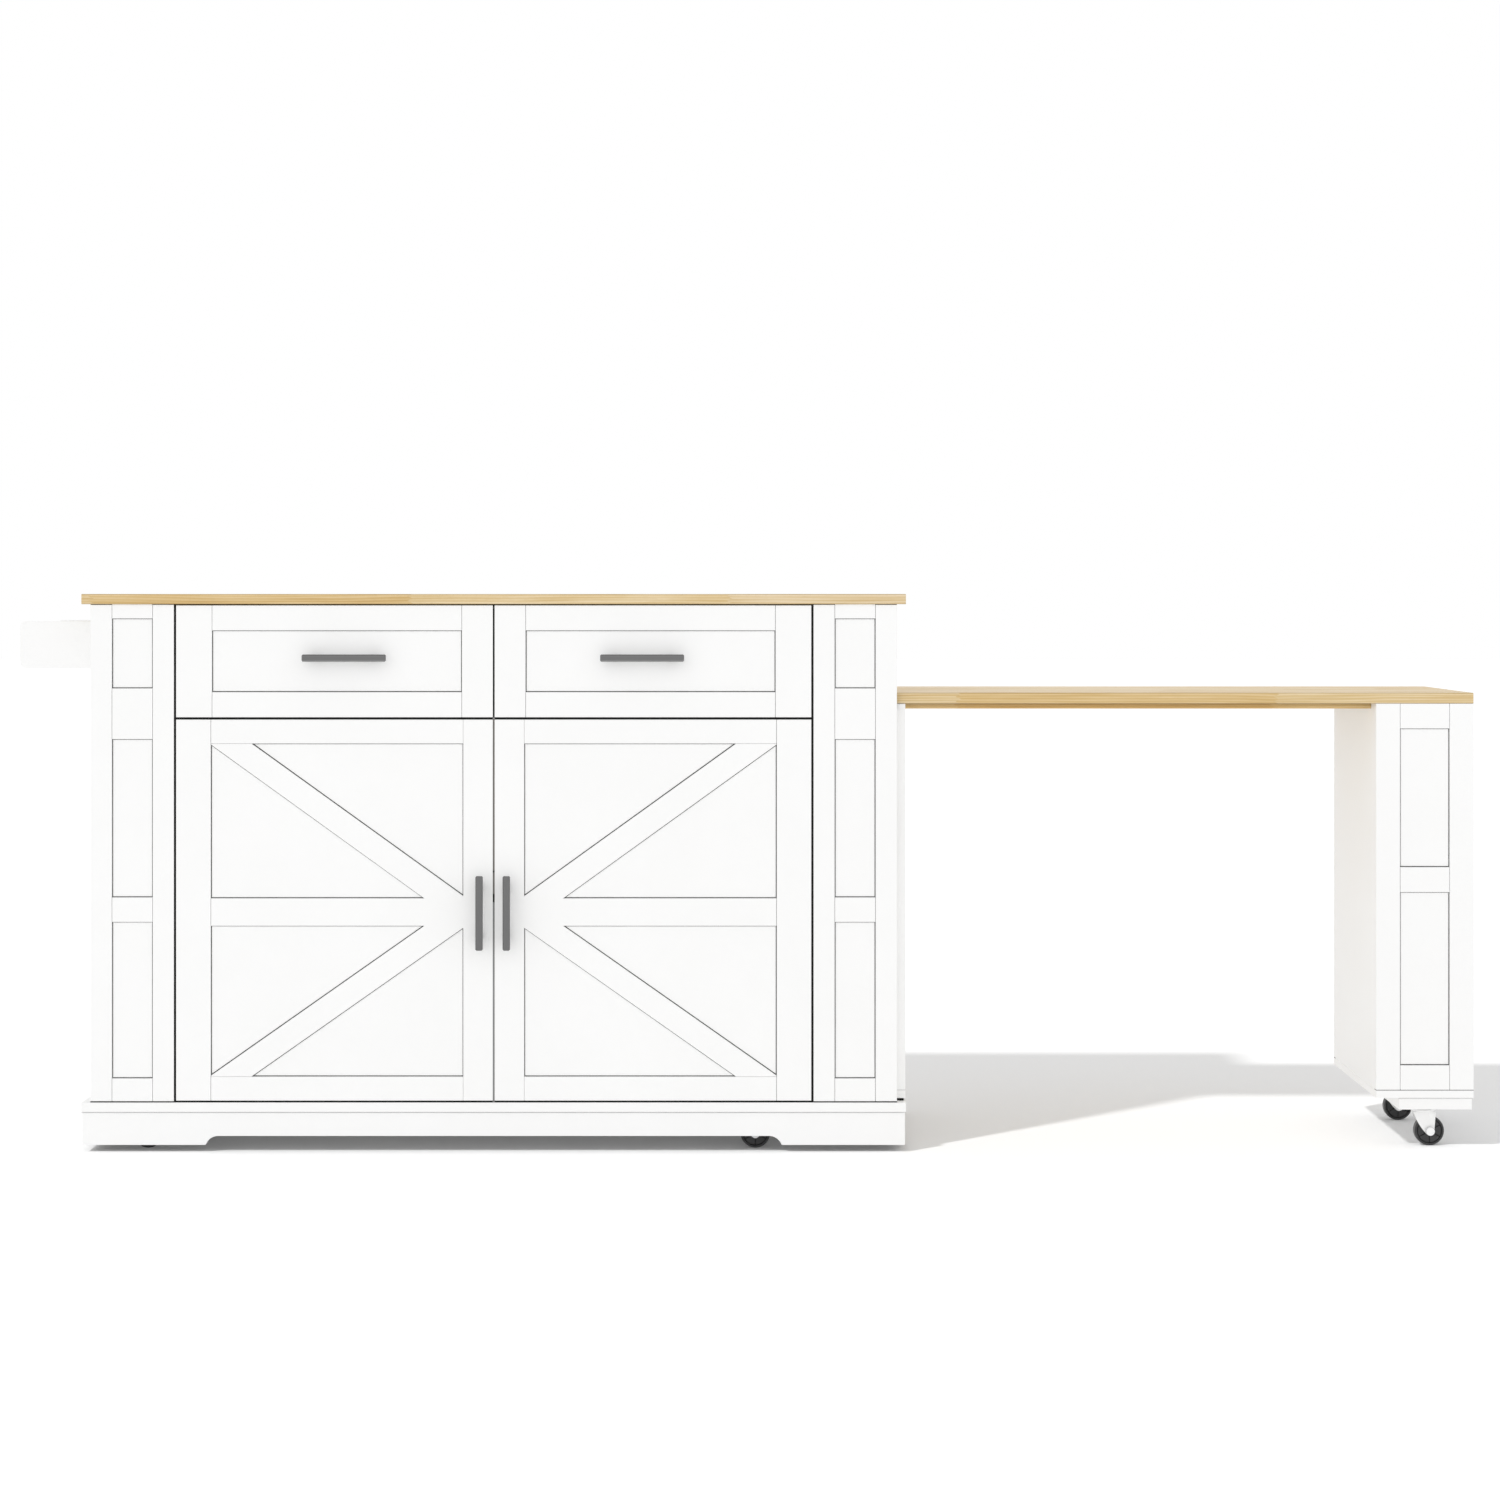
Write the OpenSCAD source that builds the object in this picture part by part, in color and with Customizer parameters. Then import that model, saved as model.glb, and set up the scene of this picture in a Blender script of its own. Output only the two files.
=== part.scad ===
// Rolling kitchen island with a pull-out dining table, shown pulled out.
// Lengths are in millimetres. X runs left to right, Y front to back and Z up.
// The modules work in the cabinet's own plan: X = 0 is the cabinet's centre line
// and Y = 0 is the worktop's front edge. in_plan() then moves them so that the
// origin lies on the floor, in the middle of the whole object.

/* [Worktop] */
// Width of the worktop, left to right
worktop_w = 1380; // [1300:1:1460]
// Depth of the worktop, front to back
worktop_d = 470; // [440:1:520]
// Thickness of the worktop
worktop_t = 17; // [12:1:28]
// Height of the worktop's upper face above the floor
island_h = 934; // [910:1:980]
// Overhang of the worktop past the cabinet's sides
side_overhang = 15; // [10:1:25]
// Distance from the worktop's front edge back to the doors' faces
front_setback = 3; // [1:0.5:10]
// Distance from the worktop's back edge forward to the back panel
back_setback = 13; // [5:1:25]

/* [Boards] */
// Thickness of the cabinet's inner and side boards
board_t = 15; // [12:1:19]
// Thickness of the back panel
back_t = 9; // [5:1:12]
// Thickness of the flat panel behind the trim strips
face_panel_t = 9; // [8:0.5:14]
// Thickness of the trim strips
trim_t = 6; // [4:0.5:9]
// Gap round each door and each drawer front
reveal = 3; // [2:0.5:5]
// Gap between the drawer fronts and the worktop
top_reveal = 2; // [1:0.5:4]

/* [Base] */
// Thickness of the deck board
deck_t = 16; // [12:1:22]
// Thickness of the plinth boards
plinth_t = 15; // [12:1:19]
// Distance from the deck board's edge in to the plinth
plinth_inset = 1.5; // [0.5:0.5:6]
// Gap between the floor and the plinth
plinth_clear = 12; // [8:1:20]
// Rise of the cut-out in the plinth
cutout_rise = 15; // [10:1:18]
// Solid length of plinth at each side of the cut-out
cutout_margin = 208; // [150:1:300]
// Radius of the cut-out's upper corners
cutout_r = 22; // [19:1:40]

/* [Posts] */
// Width of each framed post
post_w = 140; // [120:1:160]
// Width of a post's upright strips
post_stile = 36; // [25:1:45]
// Height of a post's top strip
post_top_rail = 24; // [15:1:35]
// Height of a post's upper recess
post_upper_recess = 117; // [90:1:130]
// Height of the wide strip below the upper recess
post_band = 85; // [60:1:110]
// Height of the strip beside the doors' middle rails
post_mid_rail = 41; // [25:1:55]
// Height of a post's lower recess
post_lower_recess = 262; // [230:1:290]
// Height of a post's bottom strip
post_bottom_rail = 40; // [30:1:55]

/* [Doors] */
// Width of a door's strip on its hinge side
door_outer_stile = 58.5; // [45:0.5:70]
// Width of a door's strip on its handle side
door_inner_stile = 49.5; // [42:0.5:60]
// Height of a door's top strip
door_top_rail = 41; // [30:1:55]
// Height of a door's middle strip
door_mid_rail = 46; // [30:1:60]
// Height of a door's bottom strip
door_bottom_rail = 40; // [30:1:55]
// Height of a door's lower recess
door_lower_recess = 252.5; // [235:0.5:275]
// Width of the slanted braces
brace_w = 41.5; // [30:0.5:52]

/* [Drawers] */
// Width of a drawer front's outer upright strip
drawer_outer_stile = 60.5; // [45:0.5:70]
// Width of a drawer front's inner upright strip
drawer_inner_stile = 52; // [42:1:60]
// Height of a drawer front's top and bottom strips
drawer_rail = 42; // [30:1:50]
// Depth of the drawer boxes, front to back
drawer_depth = 350; // [300:10:380]
// Height of the drawer boxes' sides
drawer_side_h = 120; // [90:1:126]
// Thickness of the drawer boxes' sides
drawer_side_t = 12; // [10:0.5:15]
// Thickness of the drawer boxes' bottoms
drawer_bottom_t = 6; // [3:0.5:9]
// Height of the bottom board above the lower edge of the drawer's sides
drawer_groove_h = 8; // [6:1:14]
// Space between the drawer box and the table top that runs below it
drawer_above_table = 7; // [4:1:10]
// Height of the drawer runners
runner_h = 35; // [30:1:45]
// Space for a runner beside the drawer box
runner_w = 12.7; // [12:0.1:14]

/* [Handles] */
// Height or width of a handle's bar, seen from the front
handle_bar_w = 12; // [8:0.5:16]
// Depth of a handle's bar
handle_bar_t = 10; // [6:0.5:12]
// Distance from the face that a handle stands on to its front
handle_reach = 28; // [24:1:36]
// Diameter of a handle's feet
handle_foot_d = 9; // [6:0.5:9.5]
// Distance from the end of a bar to the centre of its foot
handle_foot_inset = 22; // [12:1:30]
// Width of the bevels on the front edges of a bar
handle_bevel = 2; // [0.5:0.5:3]
// Length of the drawer handles
drawer_handle_l = 140; // [110:1:180]
// Distance from the cabinet's centre line to the middle of a drawer handle
drawer_handle_x = 249; // [200:1:290]
// Distance from the drawer front's top edge down to its handle
drawer_handle_drop = 88; // [70:1:100]
// Length of the door handles
door_handle_l = 124; // [100:1:180]
// Distance from the cabinet's centre line to a door handle
door_handle_x = 22.7; // [15:0.1:35]

/* [Table] */
// Distance from the worktop's upper face down to the table top's upper face
table_drop = 166; // [159:1:184]
// Thickness of the table top
table_t = 18; // [14:1:22]
// Distance from the worktop's front edge back to the table top
table_setback = 25; // [20:1:40]
// Length of the table top
table_len = 1510; // [1300:5:1540]
// Distance that the pulled-out table stands out past the worktop
table_reach = 955; // [860:5:960]
// Gap between the table top and the back panel
table_back_gap = 2; // [1:0.5:4]
// Height of the battens under the table top
batten_h = 10; // [8:1:14]
// Width of the battens under the table top
batten_w = 40; // [25:1:60]
// Distance from the table's long edges in to the battens
batten_inset = 47; // [30:1:80]
// Running gap below the battens and above the table top
slide_gap = 0.3; // [0.2:0.1:0.6]

/* [Leg box] */
// Width of the leg box
leg_w = 164; // [140:1:190]
// Width of the leg box's upright strips
leg_stile = 40.5; // [30:0.5:50]
// Height of the leg box's top, middle and bottom strips
leg_rail = 42; // [30:1:55]
// Height of the leg box's lower recess
leg_lower_recess = 291; // [260:1:320]
// Thickness of the base board under the leg box
leg_base_t = 13; // [10:1:18]
// Thickness of the board that carries the table's casters
caster_board_t = 20; // [15:1:25]
// Distance from the leg box's front and back in to the caster board
caster_board_inset = 5; // [2:1:35]
// Distance from the leg box's inner side to the caster board
caster_board_left = 39; // [30:1:55]
// Distance from the leg box's outer side to the caster board
caster_board_right = 2; // [1:1:15]
// Gap between the side support panel and the deck board
support_gap = 4; // [2:0.5:8]

/* [Casters] */
// Height of a caster, from the floor to the face it is screwed to
caster_h = 67; // [64:0.5:76]
// Diameter of the wheels
wheel_d = 50; // [44:0.5:52]
// Width of the wheels
wheel_w = 20; // [16:0.5:24]
// Distance from a caster's swivel axis to its wheel's axle
caster_trail = 9; // [7:0.5:12]
// Side length of a caster's plate
plate_w = 54; // [48:1:60]
// Thickness of a caster's plate
plate_t = 2.5; // [2:0.5:4]
// Diameter of a caster's axle
axle_d = 6; // [5:0.5:8]
// Running clearance round axles and king pins, on the radius
pin_clear = 0.05; // [0.02:0.01:0.1]
// Distance from the worktop's left end to the left casters
main_caster_left = 95; // [80:1:200]
// Distance from the worktop's right end to the right casters
main_caster_right = 261; // [150:1:300]
// Distance from the worktop's front and back edges in to the casters
main_caster_y = 57; // [55:1:90]
// Distance from the table's inner leg side to the table's casters
table_caster_x = 90; // [75:1:115]
// Distance from the table's front edge back to its front caster
table_caster_front = 57; // [48:1:90]
// Distance from the table's back edge forward to its back caster
table_caster_back = 80; // [48:1:100]

/* [Rack] */
// Reach of the side rack past the cabinet's left side
rack_reach = 132; // [100:1:160]
// Height of the rack's end boards
rack_h = 80; // [60:1:110]
// Distance from the worktop's underside down to the rack
rack_drop = 29; // [15:1:60]
// Distance from the worktop's front edge to the rack's front board
rack_front = 70; // [50:1:100]
// Length of the rack, front to back
rack_len = 330; // [260:1:360]
// Radius of the end boards' outer corners
rack_corner_r = 10; // [4:1:20]
// Thickness of the rack's tray and rail
rack_tray_t = 12; // [8:1:15]
// Height of the rack's outer rail
rack_rail_h = 25; // [15:1:40]
// Gap between the rack's tray and its outer rail
rack_rail_gap = 24; // [12:1:35]

/* [Inside] */
// Height of the shelves above the deck board
shelf_h = 300; // [200:5:420]
// Gap at a shelf's ends
shelf_clear = 1; // [0.5:0.5:2]
// Distance from the cabinet's front back to the shelves
shelf_setback = 30; // [10:1:60]
// Diameter of the shelf pins
shelf_pin_d = 5; // [4:0.5:7]
// Depth of a shelf pin in its board, and its reach under the shelf
shelf_pin_l = 7; // [5:0.5:7]
// Distance from a shelf's front and back edges in to its pins
shelf_pin_inset = 40; // [20:1:80]
// Diameter of the hinge cups
cup_d = 35; // [26:1:35]
// Depth of the hinge cups in the doors
cup_depth = 11.5; // [10:0.5:12]
// Distance from a door's hinge edge to the middle of its cups
cup_inset = 22.5; // [21:0.5:26]
// Distance from a door's top and bottom edges to its cups
cup_end = 90; // [60:1:140]
// Height of the magnetic catch
catch_h = 14; // [10:1:20]
// Depth of the magnetic catch
catch_d = 15; // [10:1:25]
// Distance from the middle of the doors' middle rails up to the catch
catch_rise = 23.5; // [15:0.5:60]

/* [Hidden] */
$fn = 48;

// Colours
paint = "#f5f5f3";
oak = "#dfc18b";
bar_grey = "#747474";
steel = "#b9bcc0";
wheel_grey = "#3a3a3a";
plastic_black = "#1c1c1c";

// A cutter reaches this far past the face that it opens
over = 1;

// The braces' edges pass this far outside the corners that they run to
brace_lap = 0.3;

// Widths across the front
body_x = worktop_w / 2 - side_overhang;
bay_x = body_x - post_w;
face_x0 = reveal / 2;
face_x1 = bay_x - reveal;

// Depths
face_y = front_setback;
panel_y = face_y + trim_t;
carcass_y = panel_y + face_panel_t;
back_y = worktop_d - back_setback - back_t;

// Heights of the base and the body
deck_z = caster_h;
floor_z = deck_z + deck_t;
body_top = island_h - worktop_t;

// Plinth
plinth_x1 = worktop_w / 2 - plinth_inset;
plinth_x0 = plinth_x1 - plinth_t;
plinth_y1 = worktop_d - plinth_inset;

// Table: heights, and the slot that it runs in
table_h = island_h - table_drop;
table_z = table_h - table_t;
batten_z = table_z - batten_h;
bed_top = batten_z - slide_gap;
bed_z = bed_top - board_t;
slot_top = table_h + slide_gap;

// Table: plan
table_x1 = worktop_w / 2 + table_reach;
table_x0 = table_x1 - table_len;
table_y0 = table_setback;
table_y1 = back_y - table_back_gap;
leg_x0 = table_x1 - leg_w;
leg_z = caster_h + caster_board_t;
leg_panel_z = leg_z + leg_base_t;

// Doors and drawer fronts
door_z0 = floor_z + reveal;
door_z1 = bed_z;
door_mid_z = door_z0 + door_bottom_rail + door_lower_recess;
drawer_z0 = door_z1 + reveal;
drawer_z1 = body_top - top_reveal;

// Shelves
pin_hole_r = shelf_pin_d / 2 + pin_clear;
shelf_z = floor_z + shelf_h;
shelf_y0 = carcass_y + shelf_setback;
shelf_y1 = back_y - shelf_clear;

// Inside: the side partitions stand half behind the doors, half behind the posts
partition_x = bay_x - board_t + board_t / 3;
box_z = table_h + drawer_above_table;
box_top = box_z + drawer_side_h;
box_x0 = board_t / 2 + runner_w;
box_x1 = partition_x - runner_w;
runner_z = (box_z + box_top - runner_h) / 2;
runner_wall = 1.5;
runner_run_gap = 0.3;
channel_w = 9;
rail_h = runner_h - 2 * runner_wall - 2 * runner_run_gap;
rail_w = runner_w - runner_wall - runner_run_gap;

// Hinges: heights of the cups, and the arm on its mounting plate
hinge_heights = [door_z0 + cup_end, door_z1 - cup_end];
hinge_plate_t = 3;
hinge_plate_h = 48;
hinge_plate_d = 32;
hinge_plate_setback = 30;
hinge_plate_y = carcass_y + hinge_plate_setback;
hinge_arm_h = 14;
hinge_arm_t = 9;
hinge_arm_setback = 2;
hinge_arm_y = carcass_y + hinge_arm_setback;
cup_lip_w = 2;
cup_lip_d = cup_d + 2 * cup_lip_w;
cup_lip_t = 0.8;
cup_wall = 1;
cup_fit = 0.1;
strike_w = 16;
strike_t = 0.8;
catch_mid_z = door_mid_z + door_mid_rail / 2 + catch_rise;

// Casters
wheel_r = wheel_d / 2;
wheel_gap = 0.8;
arm_t = 2.5;
race_r = 17;
race_t = 3;
crown_r = 19;
crown_t = 4;
crown_gap = 0.3;
king_r = 4;
king_head_r = 7;
king_head_t = 2.5;
plate_z = caster_h - plate_t;
race_z = plate_z - race_t;
crown_z1 = race_z - crown_gap;
crown_z0 = crown_z1 - crown_t;
king_z = crown_z0 - crown_gap;
plate_hole_r = 2.4;
plate_hole_edge = 8;
plate_hole_x = plate_w / 2 - plate_hole_edge;
plate_corner_r = 6;
boss_r = 7.5;
axle_head_r = 5;
axle_head_t = 1.5;
hub_r = 7.5;
wheel_face_step = 0.8;
wheel_sectors = 6;
wheel_groove_w = 1.4;
wheel_groove_t = 1.1;
wheel_ring = 4.9;
tread_crown = 1.2;
bend_steps = 10;

// Where the casters stand: [stem x, stem y]
main_stem_x0 = -worktop_w / 2 + main_caster_left;
main_stem_x1 = worktop_w / 2 - main_caster_right;
main_stem_y1 = worktop_d - main_caster_y;
table_stem_x = leg_x0 + table_caster_x;
table_stem_y0 = table_y0 + table_caster_front;
table_stem_y1 = table_y1 - table_caster_back;

// Rack
rack_z1 = body_top - rack_drop;
rack_z0 = rack_z1 - rack_h;

// The overall plan, whose middle is the origin
plan_x0 = -body_x - rack_reach;
plan_x1 = table_x1;
plan_y0 = face_y - handle_reach;
plan_y1 = worktop_d;

module in_plan() {
    translate([-(plan_x0 + plan_x1) / 2, -(plan_y0 + plan_y1) / 2, 0])
        children();
}

// A board given by its two corners
module board(low, high) {
    translate(low)
        cube(high - low);
}

// Draws its children as they are for the right side, or mirrored for the left
module on_side(side) {
    mirror([side == "left" ? 1 : 0, 0, 0])
        children();
}

// An upright strip or a level strip of trim on the face of a front
module strip(x0, z0, x1, z1) {
    board([x0, face_y, z0], [x1, panel_y, z1]);
}

// Worktop, deck board and plinth

module worktop() {
    color(oak)
        in_plan()
            board([-worktop_w / 2, 0, body_top], [worktop_w / 2, worktop_d, island_h]);
}

module deck_board() {
    color(paint)
        in_plan()
            board([-worktop_w / 2, 0, deck_z], [worktop_w / 2, worktop_d, floor_z]);
}

// The space cut from a plinth board: level on top, with a round corner at each end
module plinth_cutout(y0, y1) {
    half = worktop_w / 2 - cutout_margin;
    top = plinth_clear + cutout_rise;
    corner_z = top - cutout_r;
    corner_x = half - sqrt(pow(cutout_r, 2) - pow(cutout_r - cutout_rise, 2));
    board([-corner_x, y0, plinth_clear - over], [corner_x, y1, top]);
    for (x = [-corner_x, corner_x])
        translate([x, y0, corner_z])
            rotate([-90, 0, 0])
                cylinder(r = cutout_r, h = y1 - y0, $fn = 96);
}

module front_plinth() {
    y0 = plinth_inset;
    y1 = plinth_inset + plinth_t;
    color(paint)
        in_plan()
            difference() {
                board([-plinth_x1, y0, plinth_clear], [plinth_x1, y1, deck_z]);
                plinth_cutout(y0 - over, y1 + over);
            }
}

module side_plinths() {
    color(paint)
        in_plan()
            for (side = ["left", "right"])
                on_side(side)
                    board([plinth_x0, plinth_inset + plinth_t, plinth_clear],
                          [plinth_x1, plinth_y1, deck_z]);
}

module back_plinth() {
    color(paint)
        in_plan()
            difference() {
                board([-plinth_x0, plinth_y1 - plinth_t, plinth_clear],
                      [plinth_x0, plinth_y1, deck_z]);
                plinth_cutout(plinth_y1 - plinth_t - over, plinth_y1 + over);
            }
}

// Framed posts

module post() {
    x0 = bay_x;
    x1 = body_x;
    in0 = x0 + post_stile;
    in1 = x1 - post_stile;
    top0 = body_top - post_top_rail;
    band1 = top0 - post_upper_recess;
    band0 = band1 - post_band;
    mid0 = floor_z + post_bottom_rail + post_lower_recess;
    board([x0, panel_y, floor_z], [x1, carcass_y, body_top]);
    strip(x0, floor_z, in0, body_top);
    strip(in1, floor_z, x1, body_top);
    strip(in0, top0, in1, body_top);
    strip(in0, band0, in1, band1);
    strip(in0, mid0, in1, mid0 + post_mid_rail);
    strip(in0, floor_z, in1, floor_z + post_bottom_rail);
}

module left_post() {
    color(paint)
        in_plan()
            on_side("left")
                post();
}

module right_post() {
    color(paint)
        in_plan()
            post();
}

// Side, back and inner boards

module left_side_panel() {
    color(paint)
        in_plan()
            board([-body_x, carcass_y, floor_z], [-body_x + board_t, back_y, body_top]);
}

module right_side_panels() {
    x0 = body_x - board_t;
    color(paint)
        in_plan() {
            board([x0, carcass_y, floor_z], [body_x, back_y, bed_z]);
            board([x0, carcass_y, slot_top], [body_x, back_y, body_top]);
        }
}

module back_panel() {
    color(paint)
        in_plan()
            board([-body_x, back_y, floor_z], [body_x, back_y + back_t, body_top]);
}

module table_bed() {
    color(paint)
        in_plan()
            board([-body_x + board_t, carcass_y, bed_z], [body_x, back_y, bed_top]);
}

module side_partitions() {
    color(paint)
        in_plan()
            for (side = ["left", "right"])
                on_side(side)
                    difference() {
                        board([partition_x, carcass_y, floor_z],
                              [partition_x + board_t, back_y, bed_z]);
                        shelf_pin_places(partition_x, pin_hole_r);
                    }
}

module centre_partition() {
    half = board_t / 2;
    color(paint)
        in_plan()
            difference() {
                board([-half, carcass_y, floor_z], [half, back_y, bed_z]);
                for (side = ["left", "right"])
                    on_side(side)
                        mirror([1, 0, 0])
                            shelf_pin_places(-half, pin_hole_r);
                board([-half - over, carcass_y - over, catch_mid_z - catch_h / 2],
                      [half + over, carcass_y + catch_d, catch_mid_z + catch_h / 2]);
            }
}

module drawer_walls() {
    color(paint)
        in_plan() {
            board([-board_t / 2, carcass_y, slot_top], [board_t / 2, back_y, body_top]);
            for (side = ["left", "right"])
                on_side(side)
                    board([partition_x, carcass_y, slot_top],
                          [partition_x + board_t, back_y, body_top]);
        }
}

// Shelves on pins

// Cylinders at a shelf's two pins, from a wall at wall_x into the wall and out of it
module shelf_pin_places(wall_x, r) {
    for (y = [shelf_y0 + shelf_pin_inset, shelf_y1 - shelf_pin_inset])
        translate([wall_x - shelf_pin_l, y, shelf_z - shelf_pin_d / 2])
            rotate([0, 90, 0])
                cylinder(r = r, h = 2 * shelf_pin_l);
}

module shelves() {
    color(paint)
        in_plan()
            for (side = ["left", "right"])
                on_side(side)
                    board([board_t / 2 + shelf_clear, shelf_y0, shelf_z],
                          [partition_x - shelf_clear, shelf_y1, shelf_z + board_t]);
}

module shelf_pins() {
    color(steel)
        in_plan()
            for (side = ["left", "right"])
                on_side(side) {
                    shelf_pin_places(partition_x, shelf_pin_d / 2);
                    shelf_pin_places(board_t / 2, shelf_pin_d / 2);
                }
}

// Drawer runners: a fixed channel on the wall and a moving rail on the drawer

// A channel that opens toward +X from x = 0, seen along Y
module channel(h, w) {
    translate([0, drawer_depth, 0])
        rotate([90, 0, 0])
            linear_extrude(drawer_depth)
                difference() {
                    square([w, h]);
                    translate([runner_wall, runner_wall])
                        square([w, h - 2 * runner_wall]);
                }
}

module fixed_runner() {
    translate([0, carcass_y, runner_z])
        channel(runner_h, channel_w);
}

module moving_runner() {
    translate([runner_w, carcass_y, runner_z + runner_wall + runner_run_gap])
        mirror([1, 0, 0])
            channel(rail_h, rail_w);
}

module cabinet_runners() {
    color(steel)
        in_plan()
            for (side = ["left", "right"])
                on_side(side) {
                    translate([board_t / 2, 0, 0])
                        fixed_runner();
                    translate([partition_x, 0, 0])
                        mirror([1, 0, 0])
                            fixed_runner();
                }
}

module drawer_runners(side) {
    color(steel)
        in_plan()
            on_side(side) {
                translate([board_t / 2, 0, 0])
                    moving_runner();
                translate([partition_x, 0, 0])
                    mirror([1, 0, 0])
                        moving_runner();
            }
}

module left_drawer_runners() {
    drawer_runners("left");
}

module right_drawer_runners() {
    drawer_runners("right");
}

// Doors

module door_panel(side) {
    color(paint)
        in_plan()
            on_side(side)
                difference() {
                    board([face_x0, panel_y, door_z0], [face_x1, carcass_y, door_z1]);
                    cup_places(cup_d / 2 + cup_fit, cup_depth + cup_fit);
                    cup_places(cup_lip_d / 2 + cup_fit, cup_lip_t);
                    strike_place();
                }
}

// The trim: two stiles, three rails and the two braces that point to the middle
module door_trim(side) {
    in0 = face_x0 + door_inner_stile;
    in1 = face_x1 - door_outer_stile;
    mid1 = door_mid_z + door_mid_rail;
    top0 = door_z1 - door_top_rail;
    low0 = door_z0 + door_bottom_rail;
    color(paint)
        in_plan()
            on_side(side)
                difference() {
                    union() {
                        strip(face_x0, door_z0, in0, door_z1);
                        strip(in1, door_z0, face_x1, door_z1);
                        strip(in0, top0, in1, door_z1);
                        strip(in0, door_mid_z, in1, mid1);
                        strip(in0, door_z0, in1, low0);
                        translate([in0, 0, mid1])
                            brace(in1 - in0, top0 - mid1);
                        translate([in0, 0, door_mid_z])
                            mirror([0, 0, 1])
                                brace(in1 - in0, door_mid_z - low0);
                    }
                    cup_places(cup_d / 2 + cup_fit, cup_depth + cup_fit);
                }
}

// A brace in a recess w wide and h high. Its upper edge ends at the inner lower corner,
// at X = 0 and Z = 0, and its lower edge ends at the outer upper corner. Both edges pass
// a little outside their corners, so that no gap is left there
module brace(w, h) {
    diagonal = norm([w, h]);
    angle = atan2(h, w) + asin((brace_w - 2 * brace_lap) / diagonal);
    intersection() {
        board([-over, face_y, -over], [w + over, panel_y, h + over]);
        rotate([0, -angle, 0])
            translate([-brace_w, face_y - over, brace_lap - brace_w])
                cube([diagonal + 2 * brace_w, trim_t + 2 * over, brace_w]);
    }
}

module left_door_panel() {
    door_panel("left");
}

module right_door_panel() {
    door_panel("right");
}

module left_door_trim() {
    door_trim("left");
}

module right_door_trim() {
    door_trim("right");
}

// Hinges, catch and strikes

// Cylinders of radius r and depth h let into the back of the right door at its cups
module cup_places(r, h) {
    for (z = hinge_heights)
        translate([face_x1 - cup_inset, carcass_y - h, z])
            rotate([-90, 0, 0])
                cylinder(r = r, h = h + over);
}

module strike_place() {
    board([face_x0 + over, carcass_y - strike_t, catch_mid_z - catch_h / 2],
          [face_x0 + over + strike_w, carcass_y + over, catch_mid_z + catch_h / 2]);
}

module door_hardware(side) {
    color(steel)
        in_plan()
            on_side(side)
                difference() {
                    union() {
                        cup_solids();
                        intersection() {
                            strike_place();
                            board([face_x0, panel_y, door_z0], [face_x1, carcass_y, door_z1]);
                        }
                    }
                    for (z = hinge_heights)
                        translate([face_x1 - cup_inset, carcass_y - cup_depth + cup_wall, z])
                            rotate([-90, 0, 0])
                                cylinder(r = cup_d / 2 - cup_wall, h = cup_depth);
                }
}

module cup_solids() {
    for (z = hinge_heights)
        translate([face_x1 - cup_inset, carcass_y, z])
            rotate([90, 0, 0]) {
                cylinder(d = cup_d, h = cup_depth);
                cylinder(d = cup_lip_d, h = cup_lip_t);
            }
}

module left_door_hardware() {
    door_hardware("left");
}

module right_door_hardware() {
    door_hardware("right");
}

module hinge_plates() {
    color(steel)
        in_plan()
            for (side = ["left", "right"])
                on_side(side)
                    for (z = hinge_heights) {
                        board([partition_x - hinge_plate_t, hinge_plate_y, z - hinge_plate_h / 2],
                              [partition_x, hinge_plate_y + hinge_plate_d, z + hinge_plate_h / 2]);
                        board([partition_x - hinge_plate_t - hinge_arm_t, hinge_arm_y,
                               z - hinge_arm_h / 2],
                              [partition_x - hinge_plate_t, hinge_plate_y + hinge_plate_d,
                               z + hinge_arm_h / 2]);
                    }
}

module magnetic_catch() {
    color(plastic_black)
        in_plan()
            board([-board_t / 2, carcass_y, catch_mid_z - catch_h / 2],
                  [board_t / 2, carcass_y + catch_d, catch_mid_z + catch_h / 2]);
}

// Drawers

module drawer_front(side) {
    color(paint)
        in_plan()
            on_side(side)
                board([face_x0, panel_y, drawer_z0], [face_x1, carcass_y, drawer_z1]);
}

module drawer_trim(side) {
    in0 = face_x0 + drawer_inner_stile;
    in1 = face_x1 - drawer_outer_stile;
    color(paint)
        in_plan()
            on_side(side) {
                strip(face_x0, drawer_z0, in0, drawer_z1);
                strip(in1, drawer_z0, face_x1, drawer_z1);
                strip(in0, drawer_z0, in1, drawer_z0 + drawer_rail);
                strip(in0, drawer_z1 - drawer_rail, in1, drawer_z1);
            }
}

// The box: two sides, a front and a back between them, and a bottom board
module drawer_box(side) {
    in0 = box_x0 + drawer_side_t;
    in1 = box_x1 - drawer_side_t;
    y0 = carcass_y;
    y1 = carcass_y + drawer_depth;
    bottom_z = box_z + drawer_groove_h;
    color(oak)
        in_plan()
            on_side(side) {
                board([box_x0, y0, box_z], [in0, y1, box_top]);
                board([in1, y0, box_z], [box_x1, y1, box_top]);
                board([in0, y0, box_z], [in1, y0 + drawer_side_t, box_top]);
                board([in0, y1 - drawer_side_t, box_z], [in1, y1, box_top]);
                board([in0, y0 + drawer_side_t, bottom_z],
                      [in1, y1 - drawer_side_t, bottom_z + drawer_bottom_t]);
            }
}

module left_drawer_front() {
    drawer_front("left");
}

module right_drawer_front() {
    drawer_front("right");
}

module left_drawer_trim() {
    drawer_trim("left");
}

module right_drawer_trim() {
    drawer_trim("right");
}

module left_drawer_box() {
    drawer_box("left");
}

module right_drawer_box() {
    drawer_box("right");
}

// Handles

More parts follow.
